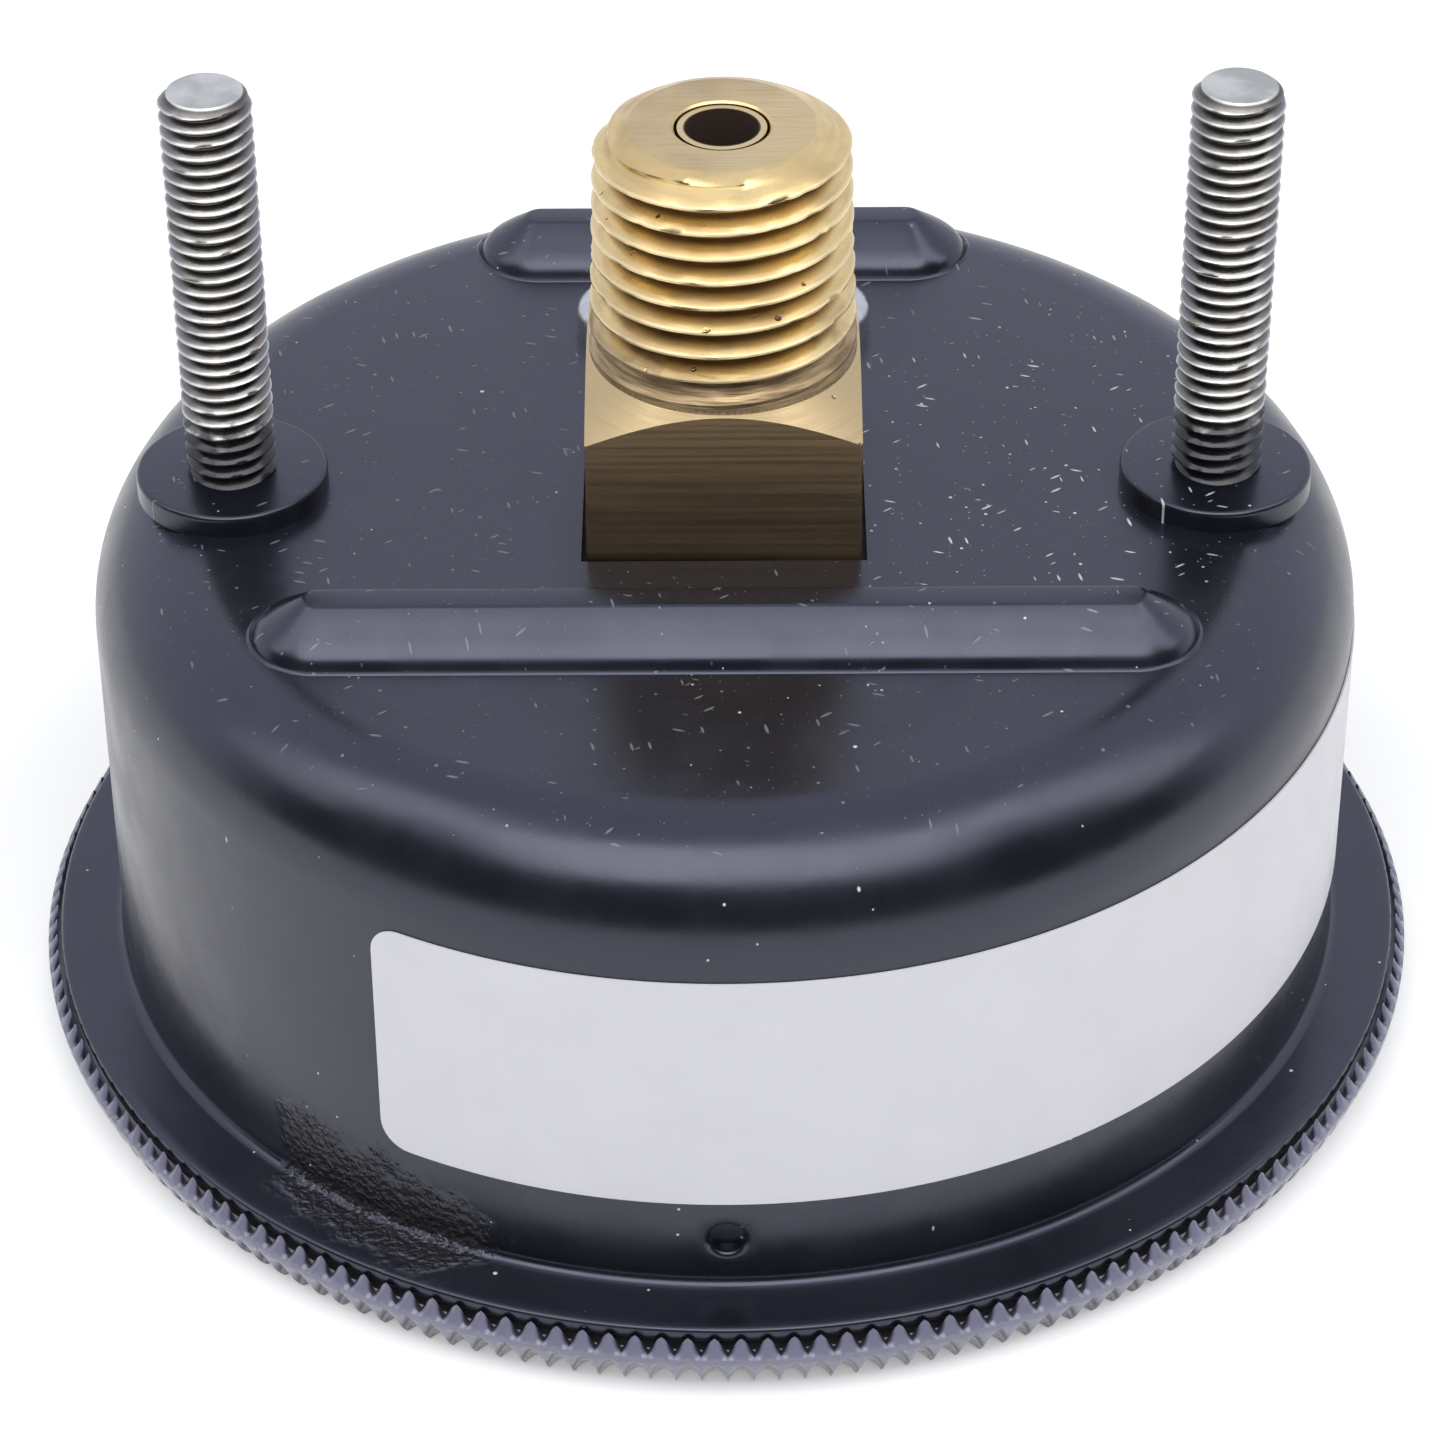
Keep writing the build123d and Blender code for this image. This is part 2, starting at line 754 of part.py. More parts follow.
with BuildPart() as movement_front_plate:
    with BuildSketch(Plane.XY.offset(front_plate_front)):
        with Locations(*pillar_places, sector_place, *dial_post_places):
            Circle(plate_edge)
        make_hull()
        with Locations(sector_place):
            Circle(pivot_diameter / 2 + bearing_clearance, mode=Mode.SUBTRACT)
        Circle(arbor_diameter / 2 + bearing_clearance, mode=Mode.SUBTRACT)
        with Locations(*pillar_places):
            Circle(small_screw_diameter / 2 + 0.1, mode=Mode.SUBTRACT)
    extrude(amount=plate_thickness)
save(movement_front_plate.part, "movement_front_plate")

with BuildPart() as movement_pillars:
    with BuildSketch(Plane.XY.offset(front_plate_back)):
        with Locations(*pillar_places):
            Circle(pillar_diameter / 2)
    extrude(amount=plate_gap)
    with BuildSketch(Plane.XY.offset(front_plate_back)):
        with Locations(*pillar_places):
            Circle(small_screw_diameter / 2 + screw_clearance)
    extrude(amount=small_screw_length - plate_thickness + 0.3, mode=Mode.SUBTRACT)
save(movement_pillars.part, "movement_pillars")

# ---- dial, its posts and the zero stop ----

with BuildPart() as dial_posts:
    with BuildSketch(Plane.XY.offset(dial_back)):
        with Locations(*dial_post_places):
            Circle(dial_post_diameter / 2)
    extrude(amount=dial_post_length)
    with BuildSketch(Plane.XY.offset(dial_back)):
        with Locations(*dial_post_places):
            Circle(small_screw_diameter / 2 + screw_clearance)
    extrude(amount=dial_post_length - 0.5, mode=Mode.SUBTRACT)
save(dial_posts.part, "dial_posts")

stop_offset = pointer_width / 2 + stop_pin_diameter / 2 + 0.05
stop_angle = pointer_zero_angle - math.degrees(math.asin(stop_offset / stop_pin_radius))

with BuildPart() as dial:
    with BuildSketch(Plane.XY.offset(dial_front)):
        Circle(dial_radius)
        Circle(dial_hole_diameter / 2, mode=Mode.SUBTRACT)
        with Locations(*dial_post_places):
            Circle(small_screw_diameter / 2 + 0.1, mode=Mode.SUBTRACT)
        with Locations(polar(stop_pin_radius, stop_angle)):
            Circle(stop_pin_diameter / 2, mode=Mode.SUBTRACT)
    extrude(amount=dial_thickness)
save(dial.part, "dial")

with BuildPart() as stop_pin:
    with BuildSketch(Plane.XY.offset(dial_back - stop_pin_height)):
        with Locations(polar(stop_pin_radius, stop_angle)):
            Circle(stop_pin_diameter / 2)
    extrude(amount=stop_pin_height)
save(stop_pin.part, "stop_pin")

# ---- pointer and its hub ----

pointer_top = dial_front - pointer_gap
pointer_plane = Plane.XY.offset(pointer_top - pointer_thickness).rotated((0, 0, pointer_zero_angle))

with BuildPart() as pointer:
    with BuildSketch(pointer_plane):
        with BuildLine():
            Polyline(
                (0, pointer_width / 2),
                (pointer_length - 3, pointer_width / 2 - 0.2),
                (pointer_length, pointer_tip_width / 2),
                (pointer_length, -pointer_tip_width / 2),
                (pointer_length - 3, -pointer_width / 2 + 0.2),
                (0, -pointer_width / 2),
                (-pointer_tail, -pointer_tail_width / 2),
                (-pointer_tail, pointer_tail_width / 2),
                close=True,
            )
        make_face()
        Circle(hub_diameter / 2 + 1)
        Circle(hub_diameter / 2 - 0.7, mode=Mode.SUBTRACT)
    extrude(amount=pointer_thickness)
save(pointer.part, "pointer")

with BuildPart() as pointer_hub:
    with BuildSketch(Plane.XY.offset(hub_bottom)):
        Circle(hub_diameter / 2)
    extrude(amount=1.0)
    fillet(pointer_hub.edges().group_by(Axis.Z)[0], 0.4)
    with BuildSketch(Plane.XY.offset(hub_bottom + 1.0)):
        Circle(hub_diameter / 2 - 0.7)
    extrude(amount=hub_height - 1.0)
    with BuildSketch(Plane.XY.offset(hub_bottom)):
        Circle(arbor_diameter / 2)
    extrude(amount=hub_height, mode=Mode.SUBTRACT)
save(pointer_hub.part, "pointer_hub")

# ---- lens gasket and lens ----

gasket_outer_radius = flange_radius - 0.3

with BuildPart() as lens_gasket:
    with BuildSketch(Plane.XY.offset(lens_shelf)):
        Circle(gasket_outer_radius)
        Circle(gasket_outer_radius - gasket_width, mode=Mode.SUBTRACT)
    extrude(amount=gasket_thickness)
save(lens_gasket.part, "lens_gasket")

rim_inner_radius = flange_radius + lens_rim_clearance
lens_radius = rim_inner_radius + lens_rim_wall
groove_depth = skirt_outer_radius - (case_inner_radius - lock_dimple_depth - lock_clearance)
groove_height = lock_dimple_diameter + 2 * lock_dimple_wall + 2 * lock_clearance
groove_half_angle = math.degrees(groove_height / 2 / skirt_outer_radius)

with BuildPart() as lens:
    with BuildSketch(Plane.XZ):
        with BuildLine():
            Polyline(
                (0, 0),
                (lens_radius - lens_edge_chamfer, 0),
                (lens_radius, lens_edge_chamfer),
                (lens_radius, lens_rim_height),
                (rim_inner_radius, lens_rim_height),
                (rim_inner_radius, lens_shelf),
                (skirt_outer_radius, lens_shelf),
                (skirt_outer_radius, skirt_top),
                (skirt_inner_radius, skirt_top),
                (skirt_inner_radius, lens_thickness),
                (0, lens_thickness),
                close=True,
            )
        make_face()
    revolve(axis=Axis.Z)
    for angle in lock_angles:
        with BuildSketch(radial_plane(angle - groove_half_angle)):
            with Locations((skirt_outer_radius, lock_height)):
                Rectangle(2 * groove_depth, groove_height)
        revolve(axis=Axis.Z, revolution_arc=lock_turn + 2 * groove_half_angle, mode=Mode.SUBTRACT)
        with BuildSketch(radial_plane(angle + lock_turn - groove_half_angle)):
            with Locations((skirt_outer_radius, (lock_height + skirt_top + 1) / 2)):
                Rectangle(2 * groove_depth, skirt_top + 1 - lock_height)
        revolve(axis=Axis.Z, revolution_arc=2 * groove_half_angle, mode=Mode.SUBTRACT)
save(lens.part, "lens")
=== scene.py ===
# %% [markdown]
# # A panel pressure gauge, lying on its face
# The gauge is a black steel cup. A brass pipe socket and two threaded studs stand on its back, and a
# knurled clear lens closes its front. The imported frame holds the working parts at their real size, and
# this script gives them the surfaces that a real one has: cut threads, a knurled rim, a printed dial,
# paint with its dust. Everything is in metres, in the frame's own axes, and +Z runs from the lens to
# the pipe thread.

# %% Load the frame and measure it
import bpy
import bmesh
import math
from mathutils import Matrix, Vector
from mathutils import noise as scatter


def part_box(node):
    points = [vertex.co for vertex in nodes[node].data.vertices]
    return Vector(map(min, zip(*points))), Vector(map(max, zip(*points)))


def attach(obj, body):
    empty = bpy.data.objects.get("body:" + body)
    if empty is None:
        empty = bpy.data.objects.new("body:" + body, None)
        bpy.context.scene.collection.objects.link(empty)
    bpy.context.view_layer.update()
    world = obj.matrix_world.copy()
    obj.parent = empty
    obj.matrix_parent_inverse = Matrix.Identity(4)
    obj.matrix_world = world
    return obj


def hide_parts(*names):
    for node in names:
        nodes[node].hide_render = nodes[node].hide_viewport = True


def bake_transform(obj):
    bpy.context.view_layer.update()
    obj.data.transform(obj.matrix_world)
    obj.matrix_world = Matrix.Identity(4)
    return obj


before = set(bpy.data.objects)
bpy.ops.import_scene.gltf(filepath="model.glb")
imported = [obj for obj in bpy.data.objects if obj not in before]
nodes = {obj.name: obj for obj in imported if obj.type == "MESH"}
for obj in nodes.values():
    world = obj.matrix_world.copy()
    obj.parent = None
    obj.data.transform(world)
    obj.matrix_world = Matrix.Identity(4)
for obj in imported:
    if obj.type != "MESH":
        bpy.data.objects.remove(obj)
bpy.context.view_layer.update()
mm = 0.001
up = Vector((0, 0, 1))
full_turn = 2 * math.pi

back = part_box("stud_collars")[0].z / mm
stud_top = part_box("mounting_studs")[1].z / mm
socket_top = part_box("socket")[1].z / mm
stud_place = 26.11
lens_radius = 38.1
ring_low = 2.4
ring_high = 2.7
cone_rise = 1.0
cone_inset = 0.52
print("back of the case at", round(back, 2), "mm, socket ends at", round(socket_top, 2), "mm")

# %% [markdown]
# ## Camera
# A long lens from the side and above keeps the wall, the back and the thread in one view with little
# perspective, as a catalogue picture of a small part has.

# %% Camera
scene = bpy.context.scene
camera_elevation = math.radians(36.15)
camera_side = math.radians(0.1)
camera_roll = math.radians(-0.34)
camera_distance = 272.08 * mm
camera_target = Vector((-0.15, 0, back - 15.85)) * mm

towards_camera = Vector(
    (
        math.sin(camera_side) * math.cos(camera_elevation),
        -math.cos(camera_side) * math.cos(camera_elevation),
        math.sin(camera_elevation),
    )
)
camera_data = bpy.data.cameras.new("camera")
camera_data.lens = 122.97
camera_data.sensor_width = 36
camera_data.clip_start = 0.01
camera = bpy.data.objects.new("camera", camera_data)
scene.collection.objects.link(camera)
camera.matrix_world = (
    Matrix.Translation(camera_target + towards_camera * camera_distance)
    @ towards_camera.to_track_quat("Z", "Y").to_matrix().to_4x4()
    @ Matrix.Rotation(camera_roll, 4, "Z")
)
scene.camera = camera
print("camera stands", round(camera_distance / mm), "mm away")

# %% [markdown]
# ## Light
# Gloss black shows almost nothing but its surroundings, so those matter more than the lamps' power. A
# white room gives the flat back its grey. A long softbox above the camera gives the bright band on the
# shoulder, and the dim half of the room behind the camera gives the black band under it. The dim half
# is only there for reflections.

# %% World
scene.view_settings.view_transform = "Standard"


def clean_tree(owner):
    owner.use_nodes = True
    owner.node_tree.nodes.clear()
    return owner.node_tree


def calculated(tree, operation, first, second=None):
    """A Math node. Inputs are sockets or plain numbers."""
    node = tree.nodes.new("ShaderNodeMath")
    node.operation = operation
    for place, value in enumerate((first, second)):
        if isinstance(value, bpy.types.NodeSocket):
            tree.links.new(value, node.inputs[place])
        elif value is not None:
            node.inputs[place].default_value = value
    return node.outputs[0]


def product(tree, first, second):
    return calculated(tree, "MULTIPLY", first, second)


def total(tree, first, second):
    return calculated(tree, "ADD", first, second)


def difference(tree, first, second):
    return calculated(tree, "SUBTRACT", first, second)


def larger(tree, first, second):
    return calculated(tree, "MAXIMUM", first, second)


def smaller(tree, first, second):
    return calculated(tree, "MINIMUM", first, second)


def rest_of(tree, share):
    """What a share leaves of one."""
    return difference(tree, 1.0, share)


def graded(tree, value, low, high, to_low=0.0, to_high=1.0):
    """Map a value from one span to another, clamped and smoothed at both ends."""
    node = tree.nodes.new("ShaderNodeMapRange")
    node.interpolation_type = "SMOOTHSTEP"
    tree.links.new(value, node.inputs["Value"])
    node.inputs["From Min"].default_value = low
    node.inputs["From Max"].default_value = high
    node.inputs["To Min"].default_value = to_low
    node.inputs["To Max"].default_value = to_high
    return node.outputs["Result"]


room = bpy.data.worlds.new("room")
scene.world = room
tree = clean_tree(room)
direction = tree.nodes.new("ShaderNodeTexCoord").outputs["Generated"]
split = tree.nodes.new("ShaderNodeSeparateXYZ")
tree.links.new(direction, split.inputs[0])
behind_camera = graded(tree, split.outputs["Y"], 0.05, -0.12)
low_down = graded(tree, split.outputs["Z"], 0.72, 0.66)
dim = product(tree, behind_camera, low_down)
mirrored = tree.nodes.new("ShaderNodeBackground")
mirrored.inputs["Color"].default_value = (0.86, 0.90, 1.06, 1)
tree.links.new(rest_of(tree, product(tree, dim, 0.97)), mirrored.inputs["Strength"])
seen = tree.nodes.new("ShaderNodeBackground")
seen.inputs["Strength"].default_value = 1.0
filling = tree.nodes.new("ShaderNodeBackground")
filling.inputs["Color"].default_value = (0.92, 0.95, 1.0, 1)
filling.inputs["Strength"].default_value = 0.42
ray = tree.nodes.new("ShaderNodeLightPath")
straight = larger(tree, ray.outputs["Is Camera Ray"], ray.outputs["Is Transmission Ray"])
first_mix = tree.nodes.new("ShaderNodeMixShader")
tree.links.new(ray.outputs["Is Glossy Ray"], first_mix.inputs[0])
tree.links.new(filling.outputs[0], first_mix.inputs[1])
tree.links.new(mirrored.outputs[0], first_mix.inputs[2])
second_mix = tree.nodes.new("ShaderNodeMixShader")
tree.links.new(straight, second_mix.inputs[0])
tree.links.new(first_mix.outputs[0], second_mix.inputs[1])
tree.links.new(seen.outputs[0], second_mix.inputs[2])
output = tree.nodes.new("ShaderNodeOutputWorld")
tree.links.new(second_mix.outputs[0], output.inputs["Surface"])

# %% Lamps


def softbox(name, place, aim, width, height, power):
    lamp = bpy.data.lights.new(name, "AREA")
    lamp.shape = "RECTANGLE"
    lamp.size = width
    lamp.size_y = height
    lamp.energy = power
    holder = bpy.data.objects.new(name, lamp)
    scene.collection.objects.link(holder)
    holder.rotation_euler = (Vector(aim) - Vector(place)).to_track_quat("-Z", "Y").to_euler()
    holder.location = place


softbox("softbox_front", (0.0, -0.41, 0.82), (0, 0, 0.03), 1.0, 0.54, 5.1)
softbox("softbox_left", (-0.62, -0.05, 0.70), (0, 0, 0.03), 0.30, 0.70, 1.1)
softbox("softbox_right", (0.62, -0.05, 0.70), (0, 0, 0.03), 0.30, 0.70, 1.3)

# %% [markdown]
# ## Floor
# The floor is plain and pale and keeps the object's shadow. It lies in the plane of the lens's face, so
# its underside is clear: from below, the lens and the dial behind it are seen as if it were not there.

# %% Floor
bm = bmesh.new()
bmesh.ops.create_grid(bm, x_segments=1, y_segments=1, size=3.0)
floor_mesh = bpy.data.meshes.new("floor")
bm.to_mesh(floor_mesh)
bm.free()
floor = bpy.data.objects.new("floor", floor_mesh)
scene.collection.objects.link(floor)
floor_white = bpy.data.materials.new("floor_white")
tree = clean_tree(floor_white)
surface = tree.nodes.new("ShaderNodeBsdfDiffuse")
surface.inputs["Color"].default_value = (0.9, 0.9, 0.9, 1)
glow = tree.nodes.new("ShaderNodeEmission")
ray = tree.nodes.new("ShaderNodeLightPath")
seen = larger(tree, ray.outputs["Is Camera Ray"], ray.outputs["Is Transmission Ray"])
seen = larger(tree, seen, ray.outputs["Is Glossy Ray"])
tree.links.new(product(tree, seen, 0.30), glow.inputs["Strength"])
both = tree.nodes.new("ShaderNodeAddShader")
tree.links.new(surface.outputs[0], both.inputs[0])
tree.links.new(glow.outputs[0], both.inputs[1])
side = tree.nodes.new("ShaderNodeNewGeometry")
one_way = tree.nodes.new("ShaderNodeMixShader")
tree.links.new(side.outputs["Backfacing"], one_way.inputs[0])
tree.links.new(both.outputs[0], one_way.inputs[1])
tree.links.new(tree.nodes.new("ShaderNodeBsdfTransparent").outputs[0], one_way.inputs[2])
output = tree.nodes.new("ShaderNodeOutputMaterial")
tree.links.new(one_way.outputs[0], output.inputs["Surface"])
floor_mesh.materials.append(floor_white)

# %% [markdown]
# ## Helpers for finishes
# A finish is a Principled shader with a few layers of noise on the piece's own coordinates. Two layers do
# most of the work: one that shifts the colour and one that shifts the roughness, each at the size that
# the real mark has. Small helpers keep every finish below to a few lines.

# %% Finish helpers


def new_finish(name):
    material = bpy.data.materials.new(name)
    tree = clean_tree(material)
    skin = tree.nodes.new("ShaderNodeBsdfPrincipled")
    output = tree.nodes.new("ShaderNodeOutputMaterial")
    tree.links.new(skin.outputs["BSDF"], output.inputs["Surface"])
    where = tree.nodes.new("ShaderNodeTexCoord").outputs["Object"]
    return material, tree, skin, where


def split_axes(tree, where):
    node = tree.nodes.new("ShaderNodeSeparateXYZ")
    tree.links.new(where, node.inputs[0])
    return node.outputs["X"], node.outputs["Y"], node.outputs["Z"]


def distance_to(tree, where, place):
    """How far each point is from one place."""
    node = tree.nodes.new("ShaderNodeVectorMath")
    node.operation = "DISTANCE"
    tree.links.new(where, node.inputs[0])
    node.inputs[1].default_value = place
    return node.outputs["Value"]


def stretched(tree, where, scale, turn=None):
    """Turn the coordinates if asked, then scale them, so that a pattern runs along the turned axes."""
    if turn:
        first = tree.nodes.new("ShaderNodeMapping")
        first.inputs["Rotation"].default_value = turn
        tree.links.new(where, first.inputs["Vector"])
        where = first.outputs["Vector"]
    node = tree.nodes.new("ShaderNodeMapping")
    node.inputs["Scale"].default_value = scale
    tree.links.new(where, node.inputs["Vector"])
    return node.outputs["Vector"]


def noise(tree, where, scale, detail=3.0):
    node = tree.nodes.new("ShaderNodeTexNoise")
    node.inputs["Scale"].default_value = scale
    node.inputs["Detail"].default_value = detail
    tree.links.new(where, node.inputs["Vector"])
    return node.outputs["Fac"]


def blended(tree, amount, first, second):
    """Mix two colours, given as sockets or as plain colours."""
    node = tree.nodes.new("ShaderNodeMix")
    node.data_type = "RGBA"
    tree.links.new(amount, node.inputs[0])
    for place, colour in ((6, first), (7, second)):
        if isinstance(colour, bpy.types.NodeSocket):
            tree.links.new(colour, node.inputs[place])
        else:
            node.inputs[place].default_value = (*colour, 1)
    return node.outputs[2]


def bumped(tree, height, distance, strength=1.0, below=None):
    node = tree.nodes.new("ShaderNodeBump")
    node.inputs["Distance"].default_value = distance
    node.inputs["Strength"].default_value = strength
    tree.links.new(height, node.inputs["Height"])
    if below is not None:
        tree.links.new(below, node.inputs["Normal"])
    return node.outputs["Normal"]


def specks(tree, where, scale, size, share, flat=False):
    """Small dots, one in some of a Voronoi pattern's cells, each of its own size.

    Flat ones use X and Y only, so that a level face cuts every dot at its middle.
    """
    node = tree.nodes.new("ShaderNodeTexVoronoi")
    node.voronoi_dimensions = "2D" if flat else "3D"
    node.inputs["Scale"].default_value = scale
    tree.links.new(where, node.inputs["Vector"])
    channels = tree.nodes.new("ShaderNodeSeparateColor")
    tree.links.new(node.outputs["Color"], channels.inputs[0])
    chosen = graded(tree, channels.outputs[0], 1 - share, 1 - share + 0.01)
    radius = product(tree, total(tree, channels.outputs[1], 0.35), size)
    inside = difference(tree, radius, node.outputs["Distance"])
    return product(tree, graded(tree, inside, 0.0, size * 0.5), chosen)


print("helpers ready")

# %% [markdown]
# ## Black paint
# The case is sprayed semi-gloss black. Up close it carries a faint orange peel, pale dust and short
# lint, and one rough dark blemish where the paint was knocked low on the wall. The dust is a Voronoi
# pattern with a dot in some of its cells, because dots of many sizes come from one node. The skin's
# refraction index and its specular tint set how strong and how blue the gloss is.

# %% Black paint
case_black, tree, skin, where = new_finish("case_black")
x, y, z = split_axes(tree, where)
on_back = graded(tree, z, (back - 1.5) * mm, (back - 0.8) * mm)

haze = product(tree, specks(tree, where, 1700, 0.085, 0.18, flat=True), 0.5)
settled = larger(tree, haze, specks(tree, where, 640, 0.055, 0.34, flat=True))
for lean in (0.3, 1.35, 2.5):
    fibres = specks(tree, stretched(tree, where, (0.36, 1.7, 1), (0, 0, lean)), 620, 0.075, 0.22, flat=True)
    settled = larger(tree, settled, fibres)
heap = (16.5 * mm, 1.0 * mm, 0)
drift = graded(tree, distance_to(tree, stretched(tree, where, (1, 0.8, 0)), heap), 15 * mm, 7 * mm, 0.22, 1.0)
settled = product(tree, product(tree, settled, drift), on_back)

clinging = specks(tree, where, 1250, 0.10, 0.14)
clinging = larger(tree, clinging, specks(tree, stretched(tree, where, (1, 1, 0.4)), 760, 0.08, 0.13))
dirt = larger(tree, settled, clinging)

knock_places = ((-15.4, -30.0, 4.9), (-18.4, -28.3, 5.3), (-21.2, -26.3, 5.9))
first, second, third = [distance_to(tree, where, Vector(place) * mm) for place in knock_places]
nearest = smaller(tree, smaller(tree, first, second), third)
ragged = product(tree, noise(tree, where, 520, 3), 4.2 * mm)
knock = graded(tree, total(tree, nearest, ragged), 5.6 * mm, 4.1 * mm)

peel = noise(tree, where, 700, 2)
base = blended(tree, noise(tree, where, 60, 3), (0.0070, 0.0078, 0.0125), (0.0105, 0.0112, 0.0165))
base = blended(tree, knock, base, (0.012, 0.0105, 0.010))
dusted = blended(tree, product(tree, dirt, 0.85), base, (0.74, 0.75, 0.80))
tree.links.new(dusted, skin.inputs["Base Color"])
rough = graded(tree, noise(tree, where, 240, 4), 0.3, 0.7, 0.22, 0.31)
rough = total(tree, rough, product(tree, dirt, 0.45))
tree.links.new(total(tree, rough, product(tree, knock, 0.03)), skin.inputs["Roughness"])
soft = bumped(tree, peel, 0.012 * mm, 0.5)
soft = bumped(tree, dirt, 0.05 * mm, 0.7, soft)
flaked = product(tree, noise(tree, where, 2500, 2), knock)
tree.links.new(bumped(tree, flaked, 0.24 * mm, 1.0, soft), skin.inputs["Normal"])
skin.inputs["IOR"].default_value = 1.67
skin.inputs["Specular Tint"].default_value = (0.78, 0.81, 1.0, 1)
print("paint made with", len(tree.nodes), "nodes")

# %% [markdown]
# ## Metals
# The brass is machined, so its marks follow the tool: straight streaks on the milled block, rings on the
# turned thread. Stretching the noise along one axis gives both. Stains are slow noise, and nicks are
# sparse dots pushed into the surface. Distance from the axis paints shade into a thread's root and a
# highlight on its crest. The arm has painted shade at its top, where it stands in the narrow gap of the
# case's hole.

# %% Metals


def metal(name, colour, stain, roughness, streaks, fineness, nicks=0.0):
    material, tree, skin, where = new_finish(name)
    streak = noise(tree, stretched(tree, where, streaks), fineness, 4)
    slow = noise(tree, where, 110, 4)
    patch = graded(tree, slow, 0.50, 0.72)
    tint = blended(tree, product(tree, patch, 0.65), colour, stain)
    tint = blended(tree, graded(tree, streak, 0.35, 0.75, 0.0, 0.35), tint, stain)
    normal = bumped(tree, streak, 0.012 * mm, 0.55)
    if nicks:
        bent = stretched(tree, where, (1, 0.3, 1), (0.4, 0.2, 0.9))
        hits = larger(tree, specks(tree, where, 700, 0.13, nicks), specks(tree, bent, 800, 0.15, nicks))
        hits = product(tree, hits, graded(tree, noise(tree, where, 1500, 3), 0.38, 0.55))
        tint = blended(tree, product(tree, hits, 0.8), tint, (0.13, 0.085, 0.05))
        normal = bumped(tree, rest_of(tree, hits), 0.08 * mm, 0.8, normal)
    tree.links.new(tint, skin.inputs["Base Color"])
    skin.inputs["Metallic"].default_value = 1.0
    grain = graded(tree, streak, 0.25, 0.8, roughness - 0.07, roughness + 0.12)
    grain = total(tree, grain, product(tree, patch, 0.10))
    tree.links.new(grain, skin.inputs["Roughness"])
    tree.links.new(normal, skin.inputs["Normal"])
    return material, tree, skin, where


def distance_from_axis(tree, x, y):
    squares = total(tree, calculated(tree, "POWER", x, 2.0), calculated(tree, "POWER", y, 2.0))
    return calculated(tree, "SQRT", squares)


milled_brass = metal(
    "milled_brass", (0.57, 0.43, 0.225), (0.44, 0.32, 0.18), 0.30, (0.25, 0.25, 14), 420, 0.12
)[0]
# A darker copy of the brass, used as painted shade on the block's sides.
side_shade_brass = metal("side_shade_brass", (0.42, 0.295, 0.17), (0.385, 0.27, 0.155), 0.40, (0.2, 0.2, 14), 330)[0]
faced_brass = metal("faced_brass", (0.71, 0.55, 0.29), (0.44, 0.32, 0.18), 0.33, (0.6, 16, 1), 420, 0.10)[0]
bright_brass = metal("bright_brass", (0.84, 0.67, 0.36), (0.56, 0.40, 0.20), 0.24, (8, 1, 1), 380)[0]
plate_steel = metal("plate_steel", (0.60, 0.60, 0.61), (0.36, 0.35, 0.34), 0.30, (1, 8, 1), 420)[0]
coil_bronze = metal("coil_bronze", (0.70, 0.46, 0.26), (0.42, 0.24, 0.13), 0.28, (1, 1, 10), 420)[0]
strip_bronze = metal("strip_bronze", (0.73, 0.50, 0.26), (0.45, 0.28, 0.14), 0.26, (1, 1, 6), 500)[0]
turned_brass, tree, skin, where = metal(
    "turned_brass", (0.80, 0.60, 0.28), (0.42, 0.29, 0.14), 0.28, (1, 1, 9), 520, 0.30
)
x, y, z = split_axes(tree, where)
colour = skin.inputs["Base Color"].links[0].from_socket
roughness = skin.inputs["Roughness"].links[0].from_socket
normal = skin.inputs["Normal"].links[0].from_socket

reach = distance_from_axis(tree, x, y)
taper = product(tree, difference(tree, z, (back + 20.8) * mm), 1 / 32)
reach = total(tree, reach, taper)
# Painted shade darkens the thread's roots, and a painted highlight brightens its crests.
root = product(tree, graded(tree, reach, 6.15 * mm, 5.72 * mm), 0.82)
root = product(tree, root, graded(tree, z, (back + 20.9) * mm, (back + 20.3) * mm))
crest_highlight = product(tree, graded(tree, reach, 6.44 * mm, 6.58 * mm), 0.6)
colour = blended(tree, crest_highlight, colour, (0.92, 0.76, 0.46))
colour = blended(tree, root, colour, (0.17, 0.105, 0.055))

band = graded(tree, z, (back + 11.0) * mm, (back + 10.2) * mm)
spread = graded(tree, z, (back + 14.5) * mm, (back + 10.5) * mm)
spread = product(tree, spread, graded(tree, noise(tree, where, 260, 4), 0.46, 0.64))
soiled = larger(tree, product(tree, band, 0.85), product(tree, spread, 0.7))
rings = noise(tree, stretched(tree, where, (0.25, 0.25, 3.2)), 1500, 2)
dirty = blended(tree, graded(tree, rings, 0.35, 0.65), (0.40, 0.29, 0.17), (0.15, 0.105, 0.065))
tree.links.new(blended(tree, soiled, colour, dirty), skin.inputs["Base Color"])
tree.links.new(total(tree, roughness, product(tree, soiled, 0.22)), skin.inputs["Roughness"])
grooves = product(tree, rings, band)
tree.links.new(bumped(tree, grooves, 0.10 * mm, 0.8, normal), skin.inputs["Normal"])

arm_brass, tree, skin, where = metal(
    "arm_brass", (0.62, 0.47, 0.26), (0.44, 0.32, 0.18), 0.34, (1, 1, 14), 300
)
x, y, z = split_axes(tree, where)
# Painted shade: the arm turns almost black at its top, in the gap of the case's hole.
shaded = graded(tree, z, (back - 1.4) * mm, (back - 0.95) * mm)
colour = skin.inputs["Base Color"].links[0].from_socket
tree.links.new(blended(tree, shaded, colour, (0.012, 0.010, 0.010)), skin.inputs["Base Color"])

